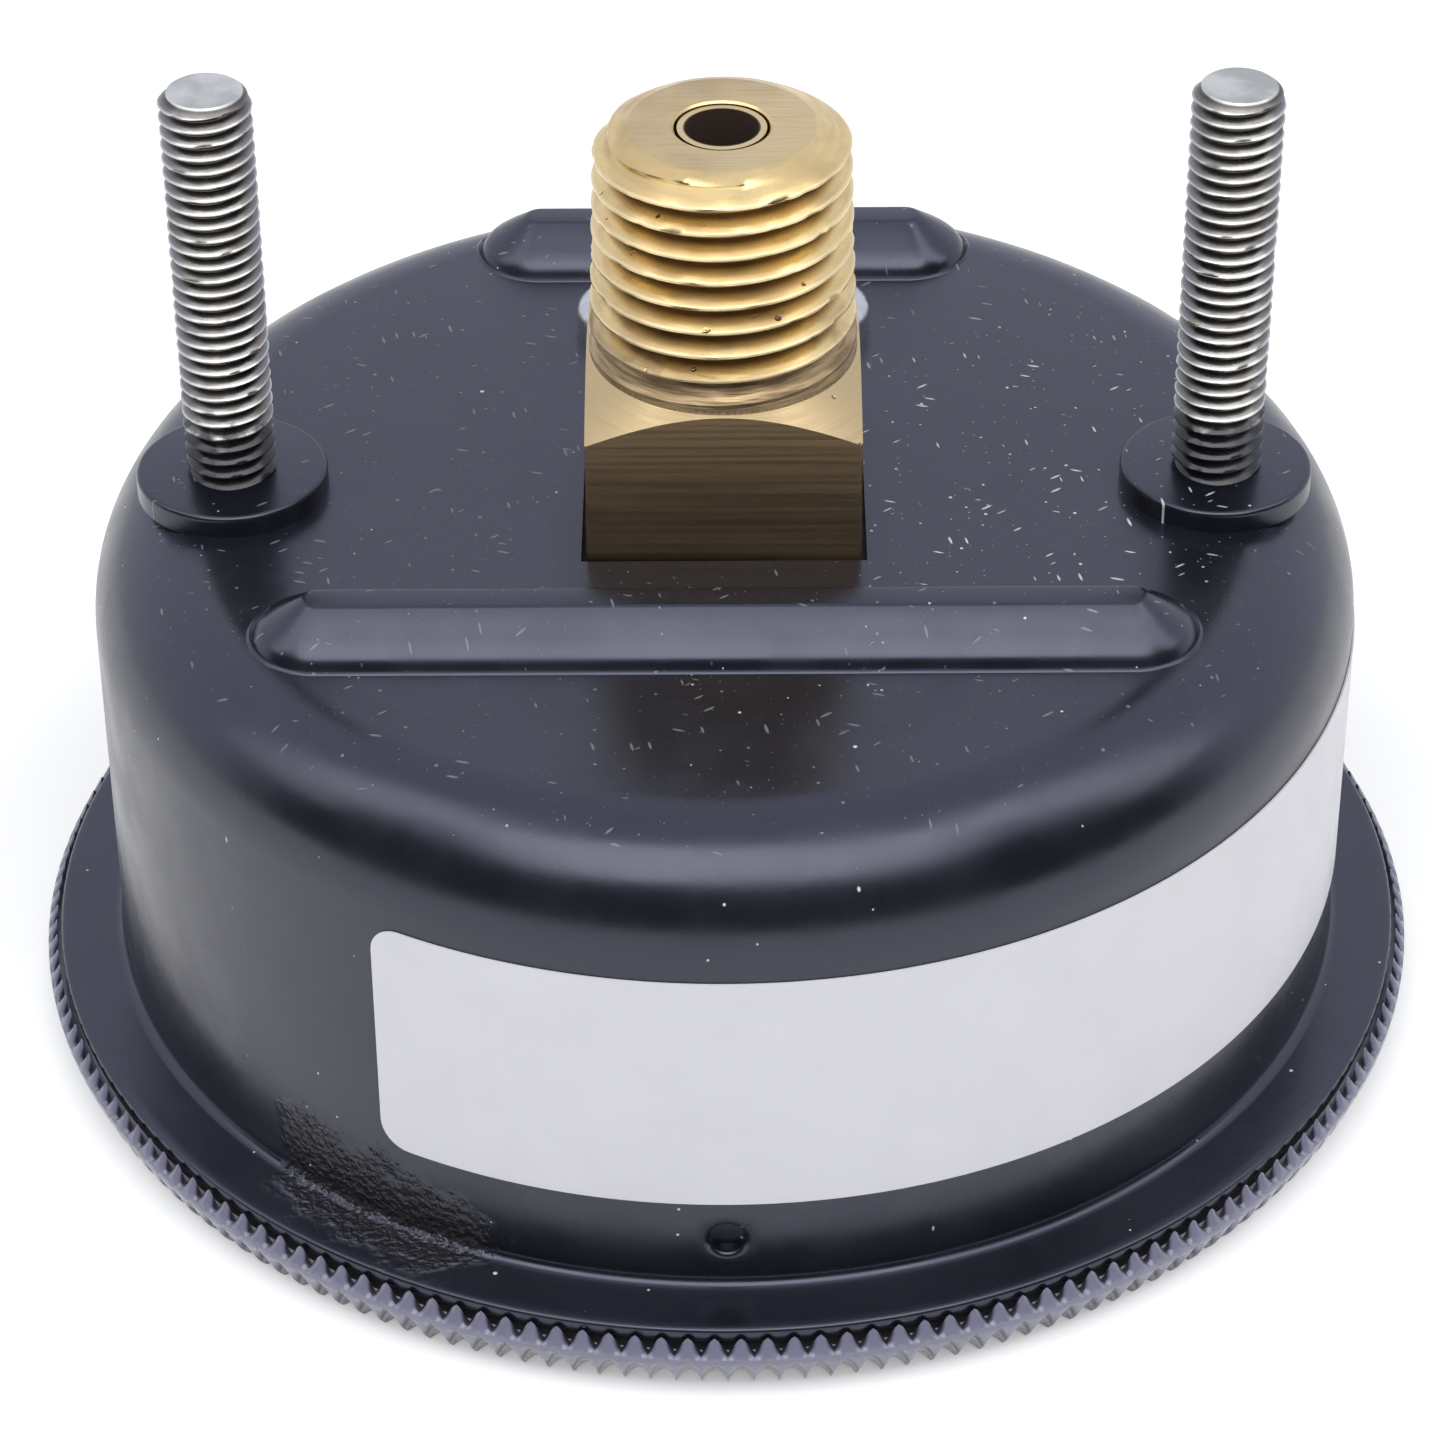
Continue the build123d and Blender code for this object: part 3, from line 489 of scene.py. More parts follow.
tube_brass, tree, skin, where = new_finish("tube_brass")
x, y, z = split_axes(tree, where)
# Painted shade: inside the bore the brass turns dark brown and less metallic.
deep = graded(tree, distance_from_axis(tree, x, y), 2.02 * mm, 1.93 * mm)
gritty = noise(tree, where, 1400, 4)
lip = blended(tree, gritty, (0.76, 0.60, 0.32), (0.66, 0.50, 0.26))
tree.links.new(blended(tree, deep, lip, (0.055, 0.032, 0.022)), skin.inputs["Base Color"])
tree.links.new(rest_of(tree, product(tree, deep, 0.8)), skin.inputs["Metallic"])
tree.links.new(graded(tree, deep, 0.0, 1.0, 0.3, 0.8), skin.inputs["Roughness"])
tree.links.new(bumped(tree, gritty, 0.04 * mm, 0.6), skin.inputs["Normal"])
print("ten metals made")

# %% [markdown]
# ## Zinc with overspray
# The studs were welded on before the case was sprayed, so the paint covers the collar and the first few
# threads and fades out raggedly above them. One shader holds both: a height, torn by noise, chooses
# between zinc and black paint. The distance from each stud's own axis paints shade into its roots and
# a highlight on its crests, and the flat tips are painted pale as a highlight.

# %% Zinc with overspray
stud_zinc, tree, skin, where = new_finish("stud_zinc")
x, y, z = split_axes(tree, where)
torn = product(tree, difference(tree, noise(tree, where, 650, 4), 0.5), 3.6 * mm)
level = total(tree, z, torn)
painted = graded(tree, level, (back + 4.9) * mm, (back + 4.2) * mm)
grime = noise(tree, where, 420, 4)
sideways = difference(tree, calculated(tree, "ABSOLUTE", x), stud_place * mm)
reach = distance_from_axis(tree, sideways, y)
# Painted light on the studs: the flat tips are pale and the crests bright as painted highlights, and the
# roots are dark as painted shade.
tip = graded(tree, z, (stud_top - 0.12) * mm, (stud_top - 0.04) * mm)
crest = graded(tree, reach, 2.27 * mm, 2.37 * mm)
root = product(tree, graded(tree, reach, 2.26 * mm, 2.03 * mm), rest_of(tree, tip))
zinc = blended(tree, graded(tree, grime, 0.45, 0.72), (0.225, 0.217, 0.203), (0.13, 0.122, 0.110))
zinc = blended(tree, product(tree, crest, 0.8), zinc, (0.62, 0.61, 0.575))
zinc = blended(tree, product(tree, root, 0.85), zinc, (0.085, 0.076, 0.068))
pale = blended(tree, graded(tree, grime, 0.35, 0.65), (0.66, 0.66, 0.59), (0.46, 0.46, 0.42))
zinc = blended(tree, tip, zinc, pale)
tree.links.new(blended(tree, painted, zinc, (0.012, 0.012, 0.015)), skin.inputs["Base Color"])
tree.links.new(rest_of(tree, painted), skin.inputs["Metallic"])
dulled = graded(tree, grime, 0.3, 0.75, 0.24, 0.44)
tree.links.new(difference(tree, dulled, product(tree, painted, 0.12)), skin.inputs["Roughness"])
tree.links.new(bumped(tree, noise(tree, where, 1500, 4), 0.03 * mm, 0.6), skin.inputs["Normal"])

# %% [markdown]
# ## Vinyl, plastic, print and rubber
# The label is pale satin vinyl and stays blank. The lens is clear moulded plastic, so it refracts rather
# than being painted pale, with a roughness that comes and goes like handling marks. Only its rim is
# less clear, and it has painted shade wherever a tooth is cut below the cone or in under the ring.

# %% Vinyl, plastic, print and rubber


def plain_finish(name, colour, other, scale, roughness, spread, bump):
    material, tree, skin, where = new_finish(name)
    cloud = noise(tree, where, scale, 4)
    tree.links.new(blended(tree, graded(tree, cloud, 0.3, 0.75), colour, other), skin.inputs["Base Color"])
    rough = graded(tree, noise(tree, where, scale * 2.7, 3), 0.3, 0.7, roughness - spread, roughness + spread)
    tree.links.new(rough, skin.inputs["Roughness"])
    tree.links.new(bumped(tree, noise(tree, where, scale * 5, 3), bump, 0.5), skin.inputs["Normal"])
    return material, tree, skin, where


label_white = plain_finish(
    "label_white", (0.75, 0.74, 0.78), (0.725, 0.715, 0.755), 260, 0.38, 0.06, 0.006 * mm
)[0]
dial_white = plain_finish(
    "dial_white", (0.86, 0.86, 0.84), (0.80, 0.80, 0.78), 180, 0.46, 0.06, 0.004 * mm
)[0]
print_black = plain_finish(
    "print_black", (0.012, 0.012, 0.013), (0.022, 0.022, 0.023), 600, 0.42, 0.08, 0.003 * mm
)[0]
seal_rubber = plain_finish(
    "seal_rubber", (0.020, 0.020, 0.021), (0.036, 0.035, 0.034), 500, 0.66, 0.10, 0.02 * mm
)[0]
lens_clear, tree, skin, where = plain_finish(
    "lens_clear", (0.88, 0.89, 0.97), (0.82, 0.83, 0.92), 160, 0.12, 0.05, 0.006 * mm
)
x, y, z = split_axes(tree, where)
reach = distance_from_axis(tree, x, y)
face_share = graded(tree, reach, 37.3 * mm, 36.7 * mm)
cone = product(tree, difference(tree, lens_radius * mm, reach), cone_rise / cone_inset)
below_cone = difference(tree, total(tree, cone, ring_high * mm), z)
upper = graded(tree, below_cone, 0.12 * mm, 0.50 * mm)
upper = product(tree, upper, graded(tree, cone, 0.05 * mm, 0.25 * mm))
upper = product(tree, upper, graded(tree, z, 2.55 * mm, 2.7 * mm))
taper = product(tree, difference(tree, ring_low * mm, z), 0.40)
inward = difference(tree, difference(tree, lens_radius * mm, taper), reach)
lower = graded(tree, inward, 0.06 * mm, 0.30 * mm)
lower = product(tree, lower, graded(tree, z, 2.45 * mm, 2.3 * mm))
lower = product(tree, lower, graded(tree, z, 0.15 * mm, 0.45 * mm))
valley = larger(tree, upper, lower)
valley = product(tree, valley, rest_of(tree, face_share))
# Painted shade in the knurl's notches and scallops, which also let less light through.
knurled = blended(tree, valley, (0.27, 0.265, 0.37), (0.022, 0.022, 0.036))
colour = skin.inputs["Base Color"].links[0].from_socket
tree.links.new(blended(tree, face_share, knurled, colour), skin.inputs["Base Color"])
open_share = rest_of(tree, product(tree, valley, 0.9))
through = graded(tree, face_share, 0.0, 1.0, 0.30, 1.0)
tree.links.new(product(tree, through, open_share), skin.inputs["Transmission Weight"])
skin.inputs["IOR"].default_value = 1.49

# %% [markdown]
# ## Helpers for shapes
# Nearly every piece here is turned, so most start as a short outline in radius and height that is spun
# about Z. An outline is easy to read against a drawing, and the spin closes on itself with no seam.

# %% Shape helpers


def chain(bm, outline):
    corners = [bm.verts.new((r * mm, 0, z * mm)) for r, z in outline]
    return corners + [bm.edges.new(pair) for pair in zip(corners, corners[1:])]


def turn(bm, outline, steps):
    """Spin an outline of (radius, height) once round Z."""
    start = chain(bm, outline)
    bmesh.ops.spin(
        bm,
        geom=start,
        cent=(0, 0, 0),
        axis=up,
        angle=full_turn,
        steps=steps,
        use_merge=True,
        use_duplicate=False,
    )


def arc(centre, radius, start, end, count):
    """Points on an arc, start and end in degrees."""
    angles = [math.radians(start + (end - start) * step / count) for step in range(count + 1)]
    return [(centre[0] + radius * math.cos(a), centre[1] + radius * math.sin(a)) for a in angles]


def radius_of(vert):
    return math.hypot(vert.co.x, vert.co.y) / mm


def set_radius(vert, radius):
    share = radius * mm / math.hypot(vert.co.x, vert.co.y)
    vert.co.x *= share
    vert.co.y *= share


def once(items):
    """Each item once, in the order met. A set's order would change from run to run."""
    return list(dict.fromkeys(items))


def edges_of(verts):
    return once(e for v in verts for e in v.link_edges)


def open_edges(bm, wanted):
    """The open edges whose two points are both wanted."""
    return [e for e in bm.edges if e.is_boundary and all(wanted(v) for v in e.verts)]


def open_ring(bm, height, low_radius=0.0, high_radius=99.0):
    """The open edges at one height, between two radii."""

    def on_ring(vert):
        return abs(vert.co.z / mm - height) < 0.004 and low_radius < radius_of(vert) < high_radius

    return open_edges(bm, on_ring)


def cap(bm, edges):
    bmesh.ops.contextual_create(bm, geom=edges)


def finished(bm, name, material, body, slot, *replaced, sharp=32):
    bmesh.ops.remove_doubles(bm, verts=bm.verts, dist=0.004 * mm)
    bmesh.ops.recalc_face_normals(bm, faces=bm.faces)
    loose = sum(e.is_boundary for e in bm.edges)
    mesh = bpy.data.meshes.new(name)
    bm.to_mesh(mesh)
    bm.free()
    mesh.shade_smooth()
    mesh.set_sharp_from_angle(angle=math.radians(sharp))
    mesh.materials.append(material)
    part = bpy.data.objects.new(name, mesh)
    scene.collection.objects.link(part)
    if body:
        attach(part, body)
    if replaced:
        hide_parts(*replaced)
    print(name, "has", len(mesh.polygons), "faces and", loose, "open edges")
    return part


# %% [markdown]
# ## The case
# The case is one pressed cup of 0.8 mm sheet: a flat back, a round shoulder, a straight wall, and a
# flange that flares out to sit in the lens. It is spun from the outline of the sheet, outside and inside.
# The square hole for the socket comes from pulling the inner rings to a square, so the faces stay
# orderly around it.

# %% Case sheet
wall = 33.75
sheet = 0.8
shoulder = 6.0
inside_back = back - sheet
hole_half = 14.89 / 2
flange_radius = 37.3
lock_height = 6.9

outside = [(12, back), (20, back)]
outside += arc((wall - shoulder, back - shoulder), shoulder, 90, 0, 18)
outside += [(wall, z) for z in (22, 18, 14, 10, 8.7, 8.1, 7.5, 6.9, 6.3, 5.7, 5.1)]
outside += arc((wall + 0.6, 4.6), 0.6, 180, 270, 8)
outside += [(36.6, 4.0)] + arc((flange_radius - 0.25, 3.75), 0.25, 90, 0, 4)
outside += arc((flange_radius - 0.2, 3.4), 0.2, 0, -90, 3)
inside = arc((wall + 0.6, 4.6), 1.4, 270, 180, 8)
inside += [(wall - sheet, z) for z in (10, 18)]
inside += arc((wall - shoulder, back - shoulder), shoulder - sheet, 0, 90, 10) + [(12, inside_back)]

bm = bmesh.new()
turn(bm, outside + inside, 360)


def squared(vert):
    """Pull a point on the round ring out to the square hole's edge."""
    angle = math.atan2(vert.co.y, vert.co.x)
    set_radius(vert, hole_half / max(abs(math.cos(angle)), abs(math.sin(angle))))


for height in (back, inside_back):
    grown = bmesh.ops.extrude_edge_only(bm, edges=open_ring(bm, height, 11, 13))
    for vert in [v for v in grown["geom"] if isinstance(v, bmesh.types.BMVert)]:
        squared(vert)
mouths = open_ring(bm, back, 7, 11) + open_ring(bm, inside_back, 7, 11)
bmesh.ops.bridge_loops(bm, edges=mouths)
print("sheet spun with", len(bm.faces), "faces")

# %% [markdown]
# Three small dimples in the wall lock the lens. Each is punched inwards, so its edge is drawn in and
# catches the light. A square patch of the wall comes out and is bridged to a ring that sinks in steps.

# %% Lock dimples
dimple_rings = [(1.25, 0.0), (1.08, -0.04), (0.98, -0.16), (0.94, -0.35), (0.92, -1.25)]
for angle in (-90, 30, 150):
    facing = Vector((math.cos(math.radians(angle)), math.sin(math.radians(angle)), 0))
    sideways = up.cross(facing)
    patch = []
    for face in bm.faces:
        middle = face.calc_center_median() / mm
        across = abs(middle.dot(sideways))
        if middle.dot(facing) > 33.4 and across < 1.7 and abs(middle.z - lock_height) < 1.75:
            patch.append(face)
    bmesh.ops.delete(bm, geom=patch, context="FACES")

    def near(vert):
        place = vert.co / mm
        return place.dot(facing) > 33.2 and abs(place.dot(sideways)) < 2.5

    edge_of_patch = open_edges(bm, near)
    stand = Matrix.Translation(up * lock_height * mm) @ Matrix((sideways, up, facing)).transposed().to_4x4()
    previous = edge_of_patch
    for radius, depth in dimple_rings:
        ring = bmesh.ops.create_circle(bm, segments=32, radius=radius * mm, matrix=stand)["verts"]
        for vert in ring:
            across = (vert.co / mm).dot(sideways)
            vert.co += facing * (math.sqrt(wall**2 - across**2) + depth) * mm
        edges = [e for e in edges_of(ring) if e.is_boundary or e.is_wire]
        bmesh.ops.bridge_loops(bm, edges=previous + edges)
        previous = edges
    cap(bm, previous)
print("dimples punched")

# %% [markdown]
# Two raised ribs stiffen the back. Each is a long mound with a flat top, steep flanks and a small
# fillet at its foot. A circle is split and its halves moved apart, which makes the long outline, and
# copies of that outline climb the flank. The foot follows the shoulder where the rib runs out over it.

# %% Ribs
flank = [(0.66, 2.2), (0.80, 2.18), (0.92, 2.11), (1.6, 1.655), (2.3, 1.185), (2.8, 0.84), (3.05, 0.63)]
flank += [(3.2, 0.46), (3.32, 0.28), (3.42, 0.10), (3.48, 0.02), (3.55, 0.05), (3.61, 0.105), (3.67, 0.085)]
flank += [(3.8, -0.02), (3.88, -0.12), (3.9, -0.4)]


def shoulder_drop(radius):
    over = max(0.0, radius - (wall - shoulder))
    return shoulder - math.sqrt(max(0.0, shoulder**2 - over**2))


for place, length in ((-13.8, 49.5), (24.4, 29.0)):
    half = length / 2 - 4.15
    previous = None
    for width, rise in flank:
        ring = bmesh.ops.create_circle(bm, segments=96, radius=width * mm)["verts"]
        for vert in ring:
            if abs(vert.co.x) > 1e-7:
                vert.co.x += math.copysign(half * mm, vert.co.x)
            if vert.co.y > 0:
                vert.co.y *= 0.93
            vert.co.y += place * mm
            follow = 1 - min(1.0, max(0.0, rise) / 1.2)
            vert.co.z = (back + rise - shoulder_drop(radius_of(vert)) * follow) * mm
        edges = edges_of(ring)
        if previous is None:
            cap(bm, edges)
        else:
            bmesh.ops.bridge_loops(bm, edges=previous + edges)
        previous = edges
    cap(bm, previous)
finished(bm, "case_cup", case_black, "case", "case_paint", "case", sharp=40)

# %% [markdown]
# ## The label
# A strip of vinyl with round corners, wrapped on the wall. It is cut flat first, where its corners are
# easy to round, then sliced along its length so that it can bend.

# %% Label
label_start = -121.3
label_end = 7.2
label_radius = 33.77
label_long = math.radians(label_end - label_start) * label_radius
label_low = 9.4
label_high = 23.6
label_slices = 160
bm = bmesh.new()
bmesh.ops.create_grid(bm, x_segments=1, y_segments=1, size=0.5 * mm)
for vert in bm.verts:
    vert.co.x = (vert.co.x / (1.0 * mm) + 0.5) * label_long * mm
    vert.co.z = label_low * mm + (vert.co.y / (1.0 * mm) + 0.5) * (label_high - label_low) * mm
    vert.co.y = 0
bmesh.ops.bevel(
    bm, geom=bm.verts[:], offset=1.6 * mm, affect="VERTICES", segments=8, profile=0.5, material=-1
)
for cut in range(1, label_slices):
    place = Vector((label_long * cut / label_slices * mm, 0, 0))
    everything = bm.verts[:] + bm.edges[:] + bm.faces[:]
    bmesh.ops.bisect_plane(bm, geom=everything, plane_co=place, plane_no=(1, 0, 0))
grown = bmesh.ops.extrude_face_region(bm, geom=bm.faces[:])
for vert in [v for v in grown["geom"] if isinstance(v, bmesh.types.BMVert)]:
    vert.co.y = 0.1 * mm
for vert in bm.verts:
    angle = math.radians(label_start) + vert.co.x / (label_radius * mm)
    radius = label_radius * mm + vert.co.y
    vert.co.x = radius * math.cos(angle)
    vert.co.y = radius * math.sin(angle)
finished(bm, "wall_label", label_white, "case", "label_vinyl", "label")

# %% [markdown]
# ## Screw threads
# A thread is one V-shaped ridge wound up a cylinder. Spinning the outline of one pitch while it climbs
# gives exactly that, and the top of each turn lands on the bottom of the next. The pipe thread is then
# tapered, faded out at its root and chamfered at its end, all by changing the radius at each height.

# %% Thread helper


ridge = [(0.0, 1.0), (0.07, 1.0), (0.17, 0.75), (0.27, 0.5), (0.37, 0.25), (0.48, 0.0), (0.56, 0.0)]
ridge += [(0.68, 0.25), (0.79, 0.5), (0.90, 0.78), (1.0, 1.0)]


def wind_thread(bm, crest, pitch, depth, low, high, steps):
    """Wind one ridge from below the low height to above the high one, and return its points."""
    outline = [(crest - depth * deep, low - pitch * 1.05 + pitch * at) for at, deep in ridge]
    turns = math.ceil((high - low) / pitch) + 2
    before = set(bm.verts)
    climb = Vector((0, 0, pitch / steps)) * mm
    bmesh.ops.spin(
        bm,
        geom=chain(bm, outline),
        cent=(0, 0, 0),
        axis=up,
        dvec=climb,
        angle=full_turn * turns,
        steps=steps * turns,
    )
    wound = [v for v in bm.verts if v not in before]
    bmesh.ops.remove_doubles(bm, verts=wound, dist=0.006 * mm)
    return [v for v in bm.verts if v not in before]


def worn(vert, crest, depth, scale):
    """How far a crest is knocked in at this place. Roots stay as cut."""
    near = max(0.0, 1 - abs(crest - radius_of(vert)) / 0.2)
    return near * depth * max(0.0, scatter.noise(vert.co * scale) - 0.16)


def cut_off(bm, verts, height, above):
    """Cut the pieces that hold these points at a height, and drop what is above it or below it."""
    faces = once(f for v in verts if v.is_valid for f in v.link_faces)
    edges = once(e for f in faces for e in f.edges)
    corners = once(v for f in faces for v in f.verts)
    bmesh.ops.bisect_plane(
        bm,
        geom=corners + edges + faces,
        dist=0.0005 * mm,
        plane_co=(0, 0, height * mm),
        plane_no=(0, 0, 1),
        clear_outer=above,
        clear_inner=not above,
    )


# %% [markdown]
# ## The socket
# The wrench block is square, and a cone turned on its end leaves the low curved scallops on its four
# flats. The same ring of points serves for round and square, so the cone is a matter of lowering each
# point by how far out it is.

# %% Pipe thread and port
square_half = 14.29 / 2
corner_reach = square_half * math.sqrt(2)
corner_height = back + 6.88
slope = math.tan(math.radians(30))
neck = 7.0
thread_low = corner_height + (corner_reach - neck) * slope + 0.22
thread_end = back + 20.8
pipe_crest = 6.625
pipe_pitch = 1.4111
pipe_depth = 1.04
taper_one_in = 32
chamfer = math.tan(math.radians(25))
end_face = pipe_crest - (socket_top - thread_end) / chamfer

bm = bmesh.new()
pipe = wind_thread(bm, pipe_crest, pipe_pitch, pipe_depth, thread_low, socket_top, 112)
for vert in pipe:
    height = vert.co.z / mm
    widened = (thread_end - height) / taper_one_in
    fade = min(1.0, max(0.0, (height - thread_low) / 1.7))
    shallowest = pipe_crest - pipe_depth * fade
    end = pipe_crest - (height - thread_end) / chamfer
    knocked = worn(vert, pipe_crest, 0.22, 1300) if height > thread_low + 2.6 else 0.0
    set_radius(vert, max(1.0, min(max(radius_of(vert) - knocked, shallowest) + widened, end)))
cut_off(bm, pipe, socket_top, True)
cut_off(bm, bm.verts[:], thread_low, False)

bore = 2.47
bore_end = 42.0
port = [(end_face - 0.6, socket_top), (2.58, socket_top), (bore, socket_top - 0.1), (bore, socket_top - 5.0)]
port += [(2.36, socket_top - 5.0), (2.36, bore_end), (0.4, bore_end)]
turn(bm, port, 96)
for vert in bm.verts:
    if radius_of(vert) < 2.8 and vert.co.z / mm > socket_top - 4:
        vert.co.y -= 0.08 * mm
cap(bm, open_ring(bm, bore_end, 0.0, 1.0))
bmesh.ops.bridge_loops(bm, edges=open_ring(bm, socket_top))
print("thread wound with", len(bm.faces), "faces")

# %% Wrench block
corner_round = 0.12


def square_reach(angle):
    """How far out a square with slightly round corners is, at an angle."""
    low, high = sorted((abs(math.cos(angle)), abs(math.sin(angle))))
    if square_half * low / high <= square_half - corner_round:
        return square_half / high
    centre = square_half - corner_round
    along = centre * (low + high)
    return along + math.sqrt(max(0.0, along**2 - 2 * centre**2 + corner_round**2))


rows = [("square", inside_back), ("cone", 0), ("round", thread_low - 0.22)]
previous = None
for kind, height in rows:
    ring = bmesh.ops.create_circle(bm, segments=224, radius=neck * mm)["verts"]
    for vert in ring:
        quarter = math.atan2(vert.co.y, vert.co.x) / (math.pi / 2)
        share = 2 * (quarter - round(quarter))
        angle = (round(quarter) + share * (1.5 - 0.5 * share**2) / 2) * math.pi / 2
        reach = neck if kind == "round" else square_reach(angle)
        drop = (corner_height + (corner_reach - reach) * slope) if kind == "cone" else height
        vert.co = Vector((reach * math.cos(angle), reach * math.sin(angle), drop)) * mm
    edges = edges_of(ring)
    if previous is None:
        cap(bm, edges)
    else:
        bmesh.ops.bridge_loops(bm, edges=previous + edges)
    previous = edges
bmesh.ops.bridge_loops(bm, edges=previous + open_ring(bm, thread_low, 6, 8))
pipe_socket = finished(bm, "pipe_socket", turned_brass, "case", "brass", "socket", sharp=34)
for brass in (milled_brass, faced_brass, side_shade_brass):
    pipe_socket.data.materials.append(brass)
# Faces of the block that face up take the milled brass. Its other faces take a darker copy as painted shade.
for face in pipe_socket.data.polygons:
    reach = math.hypot(face.center.x, face.center.y) / mm
    if face.center.z / mm < thread_low - 0.1:
        face.material_index = 1 if face.normal.z > 0.3 else 3
    elif face.normal.z > 0.9 and face.center.z / mm > socket_top - 0.1 and reach < end_face:
        face.material_index = 2

# %% [markdown]
# ## The studs
# The two studs are one piece, as they are one node, so a stud is wound at the middle, copied, and each
# copy moved out to its place. The round collars they stand in are a node, and a piece, of their own.

# %% Studs
bm = bmesh.new()
stud_crest = 2.4
stud_pitch = 0.7938
stud_depth = 0.46
stud_foot = back + 1.0
stud = wind_thread(bm, stud_crest, stud_pitch, stud_depth, stud_foot, stud_top, 48)
for vert in stud:
    height = vert.co.z / mm
    knocked = worn(vert, stud_crest, 0.15, 1900)
    chamfered = stud_crest - (height - (stud_top - 0.42)) * 1.25
    set_radius(vert, max(0.9, min(radius_of(vert) - knocked, chamfered)))
cut_off(bm, stud, stud_top, True)
cut_off(bm, bm.verts[:], stud_foot, False)
cap(bm, open_ring(bm, stud_top, 0, 3))
cap(bm, open_ring(bm, stud_foot, 0, 3))
copied = bmesh.ops.duplicate(bm, geom=bm.verts[:] + bm.edges[:] + bm.faces[:])["geom"]
second = [v for v in copied if isinstance(v, bmesh.types.BMVert)]
chosen = set(second)
first = [v for v in bm.verts if v not in chosen]
bmesh.ops.translate(bm, verts=first, vec=(-stud_place * mm, 0, 0))
bmesh.ops.translate(bm, verts=second, vec=(stud_place * mm, 0, 0))
finished(bm, "stud_pair", stud_zinc, "case", "zinc_steel", "mounting_studs", sharp=38)

# %% Stud collars
collar_low = back - 0.1
collar_high = back + 1.2
bm = bmesh.new()
for side in (-1, 1):
    before = set(bm.verts)
    collar = [(0.3, collar_low), (5.08, collar_low), (5.08, back + 0.9)]
    collar += arc((4.8, back + 0.92), 0.28, 0, 90, 6) + [(0.3, collar_high)]
    turn(bm, collar, 90)
    turned = [v for v in bm.verts if v not in before]
    bmesh.ops.translate(bm, verts=turned, vec=(side * stud_place * mm, 0, 0))
for loop in (collar_low, collar_high):
    rims = open_ring(bm, loop, 20, 32)
    cap(bm, [e for e in rims if e.verts[0].co.x < 0])
    cap(bm, [e for e in rims if e.is_valid and e.is_boundary and e.verts[0].co.x > 0])
finished(bm, "collar_pair", case_black, "case", "case_paint", "stud_collars", sharp=38)

# %% [markdown]
# ## The lens
# The lens is one clear moulding: a face, a knurled rim that fits over the flange, and a skirt that locks
# inside the case. The rim is gripped to unlock it, so it has scallops cut up from the face and notches
# cut down from the back, half a tooth apart. A smooth ring stands out between them and is the outline.
# A notch lowers the points of the cone behind the ring, and a scallop draws in those under it.

# %% Lens
teeth = 176
steps_per_tooth = 8
glass = 2.0
seat = 2.4
skirt_outer, skirt_inner, skirt_end = 32.75, 31.05, 8.9
groove_radius = 32.2
profile = [(0.2, 0.0), (20, 0.0), (33, 0.0), (35.6, 0.0), (36.8, 0.0), (37.1, 0.35), (37.35, 0.7)]
profile += [(37.55, 1.05), (37.72, 1.4), (37.86, 1.75), (37.97, 2.05), (38.05, 2.25)]
profile += [(lens_radius, ring_low), (lens_radius, ring_high)]
profile += [(lens_radius - cone_inset * step / 5, ring_high + cone_rise * step / 5) for step in range(1, 6)]
profile += [(37.55, 3.7), (37.55, seat), (35.0, seat), (skirt_outer, seat), (skirt_outer, 4.4)]
profile += [(skirt_outer, 5.5), (groove_radius, 5.6), (groove_radius, 8.1), (skirt_outer, 8.2)]
profile += [(skirt_outer, skirt_end), (skirt_inner, skirt_end), (skirt_inner, glass)]
profile += [(20, glass), (0.2, glass)]
bm = bmesh.new()
turn(bm, profile, teeth * steps_per_tooth)
cap(bm, open_ring(bm, 0.0, 0, 1))
cap(bm, open_ring(bm, glass, 0, 1))
for vert in bm.verts:
    radius = radius_of(vert)
    height = vert.co.z / mm
    if radius < 36.5 or (radius < 37.5 and height > glass):
        continue
    share = math.atan2(vert.co.y, vert.co.x) / full_turn * teeth
    across = 2 * (share - math.floor(share)) - 1
    if height > ring_high + 0.01:
        vert.co.z -= 0.92 * (height - ring_high) * max(0.0, abs(across) - 0.1) / 0.9 * mm
    elif height < ring_low - 0.01:
        scallop = 0.85 * (1 - across**2) - 0.55 * max(0.0, height - 0.85)
        set_radius(vert, radius - max(0.0, scallop))
finished(bm, "clear_lens", lens_clear, "lens", "lens_clear", "lens", sharp=34)

# %% [markdown]
# ## The dial
# The dial's disc keeps its CAD shape. The print is thin ink on it: a scale of 270 degrees with a long
# mark at every ten, short ones between, and plain numbers. The text is turned round Y as a whole, so it
# reads correctly from the lens side and is never mirrored.

# %% Dial print
dial_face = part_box("dial")[0].z / mm
ink = 0.03
bm = bmesh.new()
for step in range(51):
    angle = math.radians(-45 + 270 * step / 50)
    major = step % 5 == 0
    inner, width = (25.6, 0.55) if major else (27.6, 0.24)
    made = bmesh.ops.create_cube(bm, size=1.0)["verts"]
    bmesh.ops.scale(bm, verts=made, vec=Vector((29.6 - inner, width, ink)) * mm)
    bmesh.ops.translate(bm, verts=made, vec=Vector(((29.6 + inner) / 2, 0, dial_face - ink / 2)) * mm)
    bmesh.ops.rotate(bm, verts=made, cent=(0, 0, 0), matrix=Matrix.Rotation(angle, 3, "Z"))
finished(bm, "dial_marks", print_black, "case", "pointer_black")

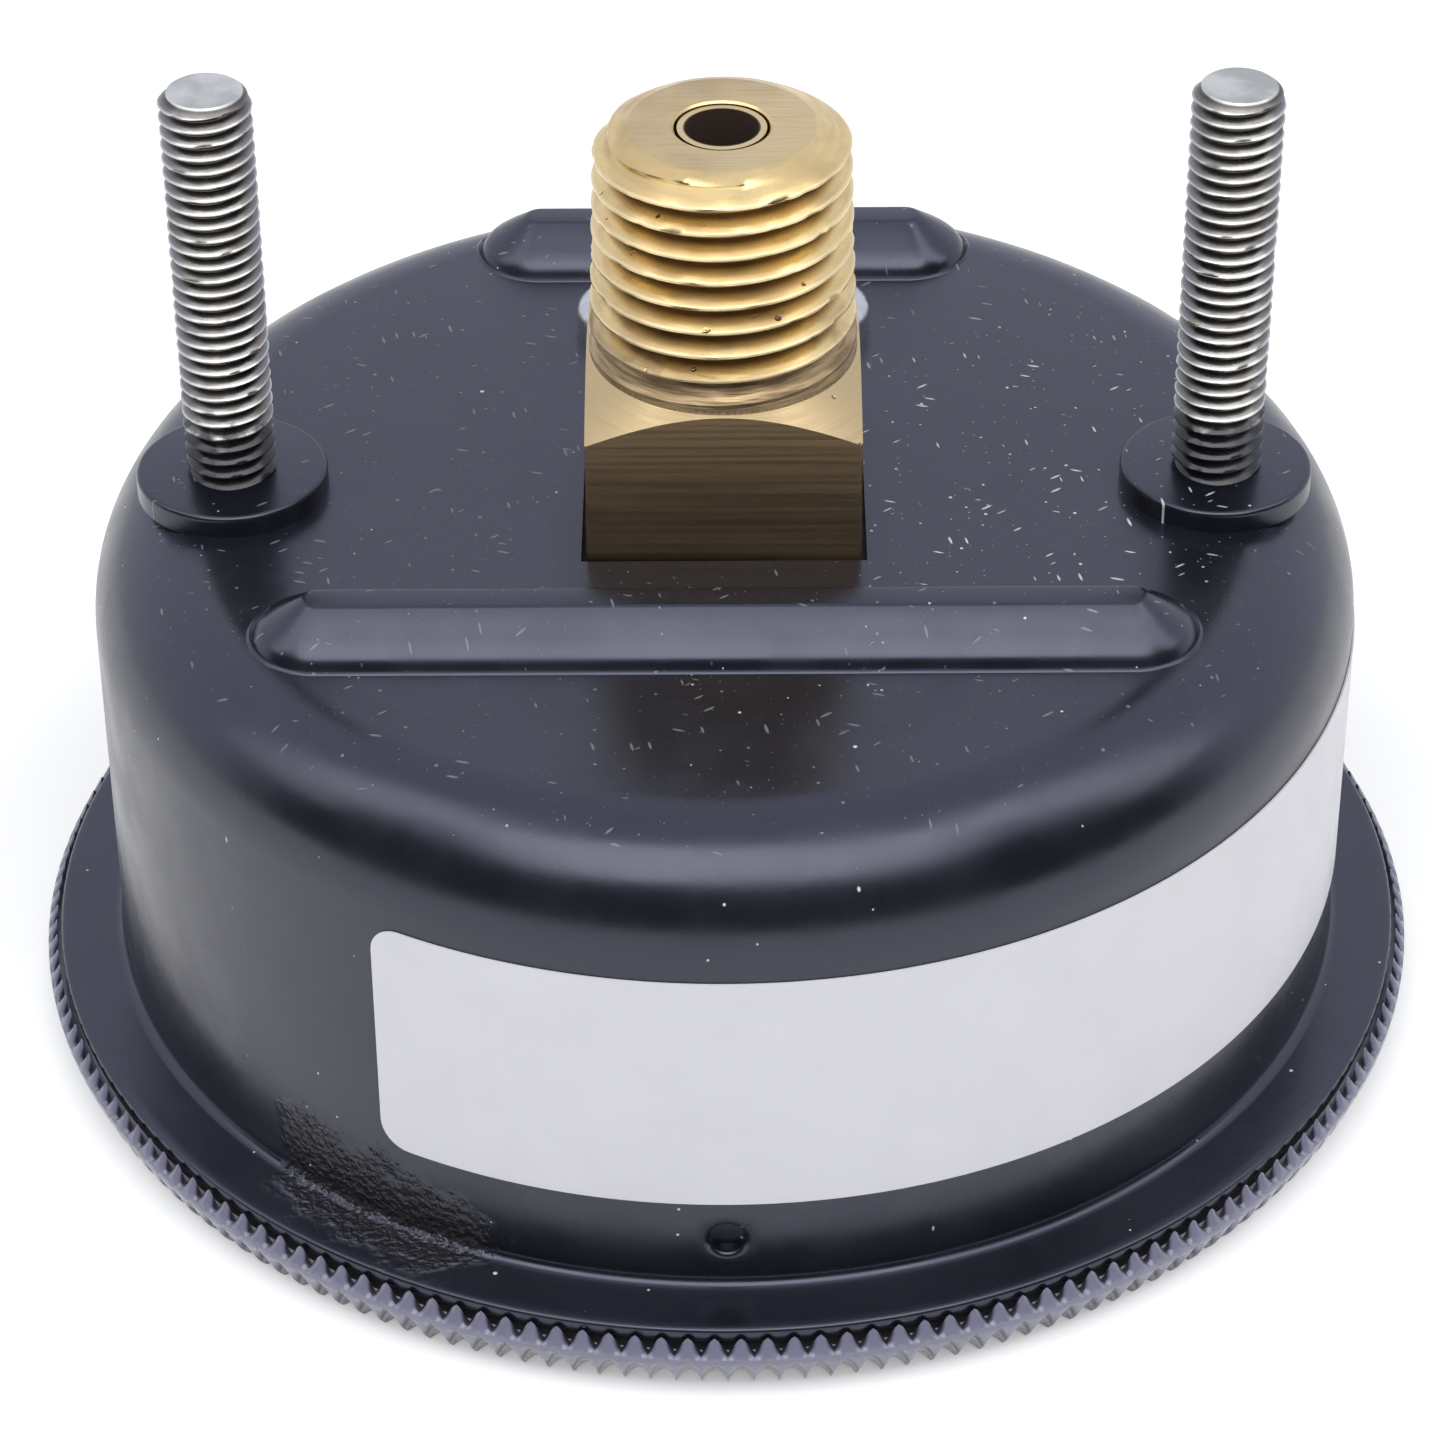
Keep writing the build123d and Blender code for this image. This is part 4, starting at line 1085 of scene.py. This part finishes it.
for step in range(11):
    letters = bpy.data.curves.new("number", "FONT")
    letters.body = str(step * 10)
    letters.size = 4.1 * mm
    letters.align_x = "CENTER"
    letters.align_y = "CENTER"
    letters.extrude = ink / 2 * mm
    letters.resolution_u = 3
    holder = bpy.data.objects.new("number", letters)
    scene.collection.objects.link(holder)
    bpy.context.view_layer.update()
    flat = bpy.data.meshes.new_from_object(holder)
    bpy.data.objects.remove(holder)
    angle = math.radians(-45 + 27 * step)
    place = Vector((21.9 * math.cos(angle), 21.9 * math.sin(angle), dial_face - ink / 2)) * mm
    flat.transform(Matrix.Translation(place) @ Matrix.Rotation(math.pi, 4, "Y"))
    bm = bmesh.new()
    bm.from_mesh(flat)
    bpy.data.meshes.remove(flat)
    finished(bm, "dial_number_" + str(step * 10), print_black, "case", "pointer_black")

# %% [markdown]
# ## The pressure tube
# The tube is a flattened oval bent round most of a circle. One end is fixed and the other uncurls as
# pressure rises. This piece is built in place and not attached to any body.

# %% Pressure tube
bm = bmesh.new()
section = bmesh.ops.create_circle(bm, segments=24, radius=1.1 * mm)["verts"]
tube_middle = (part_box("bourdon_tube")[0].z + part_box("bourdon_tube")[1].z) / 2
for vert in section:
    tall = vert.co.y + math.copysign(2.2 * mm, vert.co.y) if abs(vert.co.y) > 1e-7 else 0.0
    vert.co = Vector((24 * mm + vert.co.x, 0, tube_middle + tall))
ring = edges_of(section)
bmesh.ops.rotate(bm, verts=section, cent=(0, 0, 0), matrix=Matrix.Rotation(math.radians(82), 3, "Z"))
bmesh.ops.spin(bm, geom=section + ring, cent=(0, 0, 0), axis=up, angle=math.radians(273), steps=140)
cap(bm, [e for e in bm.edges if e.is_boundary and (e.verts[0].co.x / mm) < 10])
cap(bm, [e for e in bm.edges if e.is_boundary])
tube_coil = finished(bm, "tube_coil", coil_bronze, None, "bronze_tube", "bourdon_tube")
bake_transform(tube_coil)

# %% [markdown]
# ## Finishes on the pieces that keep their CAD shape
# Gears, plates, pins and screws are already right in shape, so they only need their metal.

# %% CAD pieces
slots = {
    "case_screws": plate_steel,
    "restrictor": tube_brass,
    "dial": dial_white,
    "pointer": print_black,
    "lens_gasket": seal_rubber,
    "hairspring": strip_bronze,
    "tube_tip": milled_brass,
    "socket_arm": arm_brass,
}
steel_pieces = "tip_pin tip_link tail_pin sector_arbor pinion_arbor stop_pin"
steel_pieces += " pillar_screws movement_screws dial_screws"
for name in steel_pieces.split():
    slots[name] = plate_steel
for name, node in nodes.items():
    node.data.materials.clear()
    node.data.materials.append(slots.get(name, bright_brass))
print(len(nodes), "CAD pieces finished")
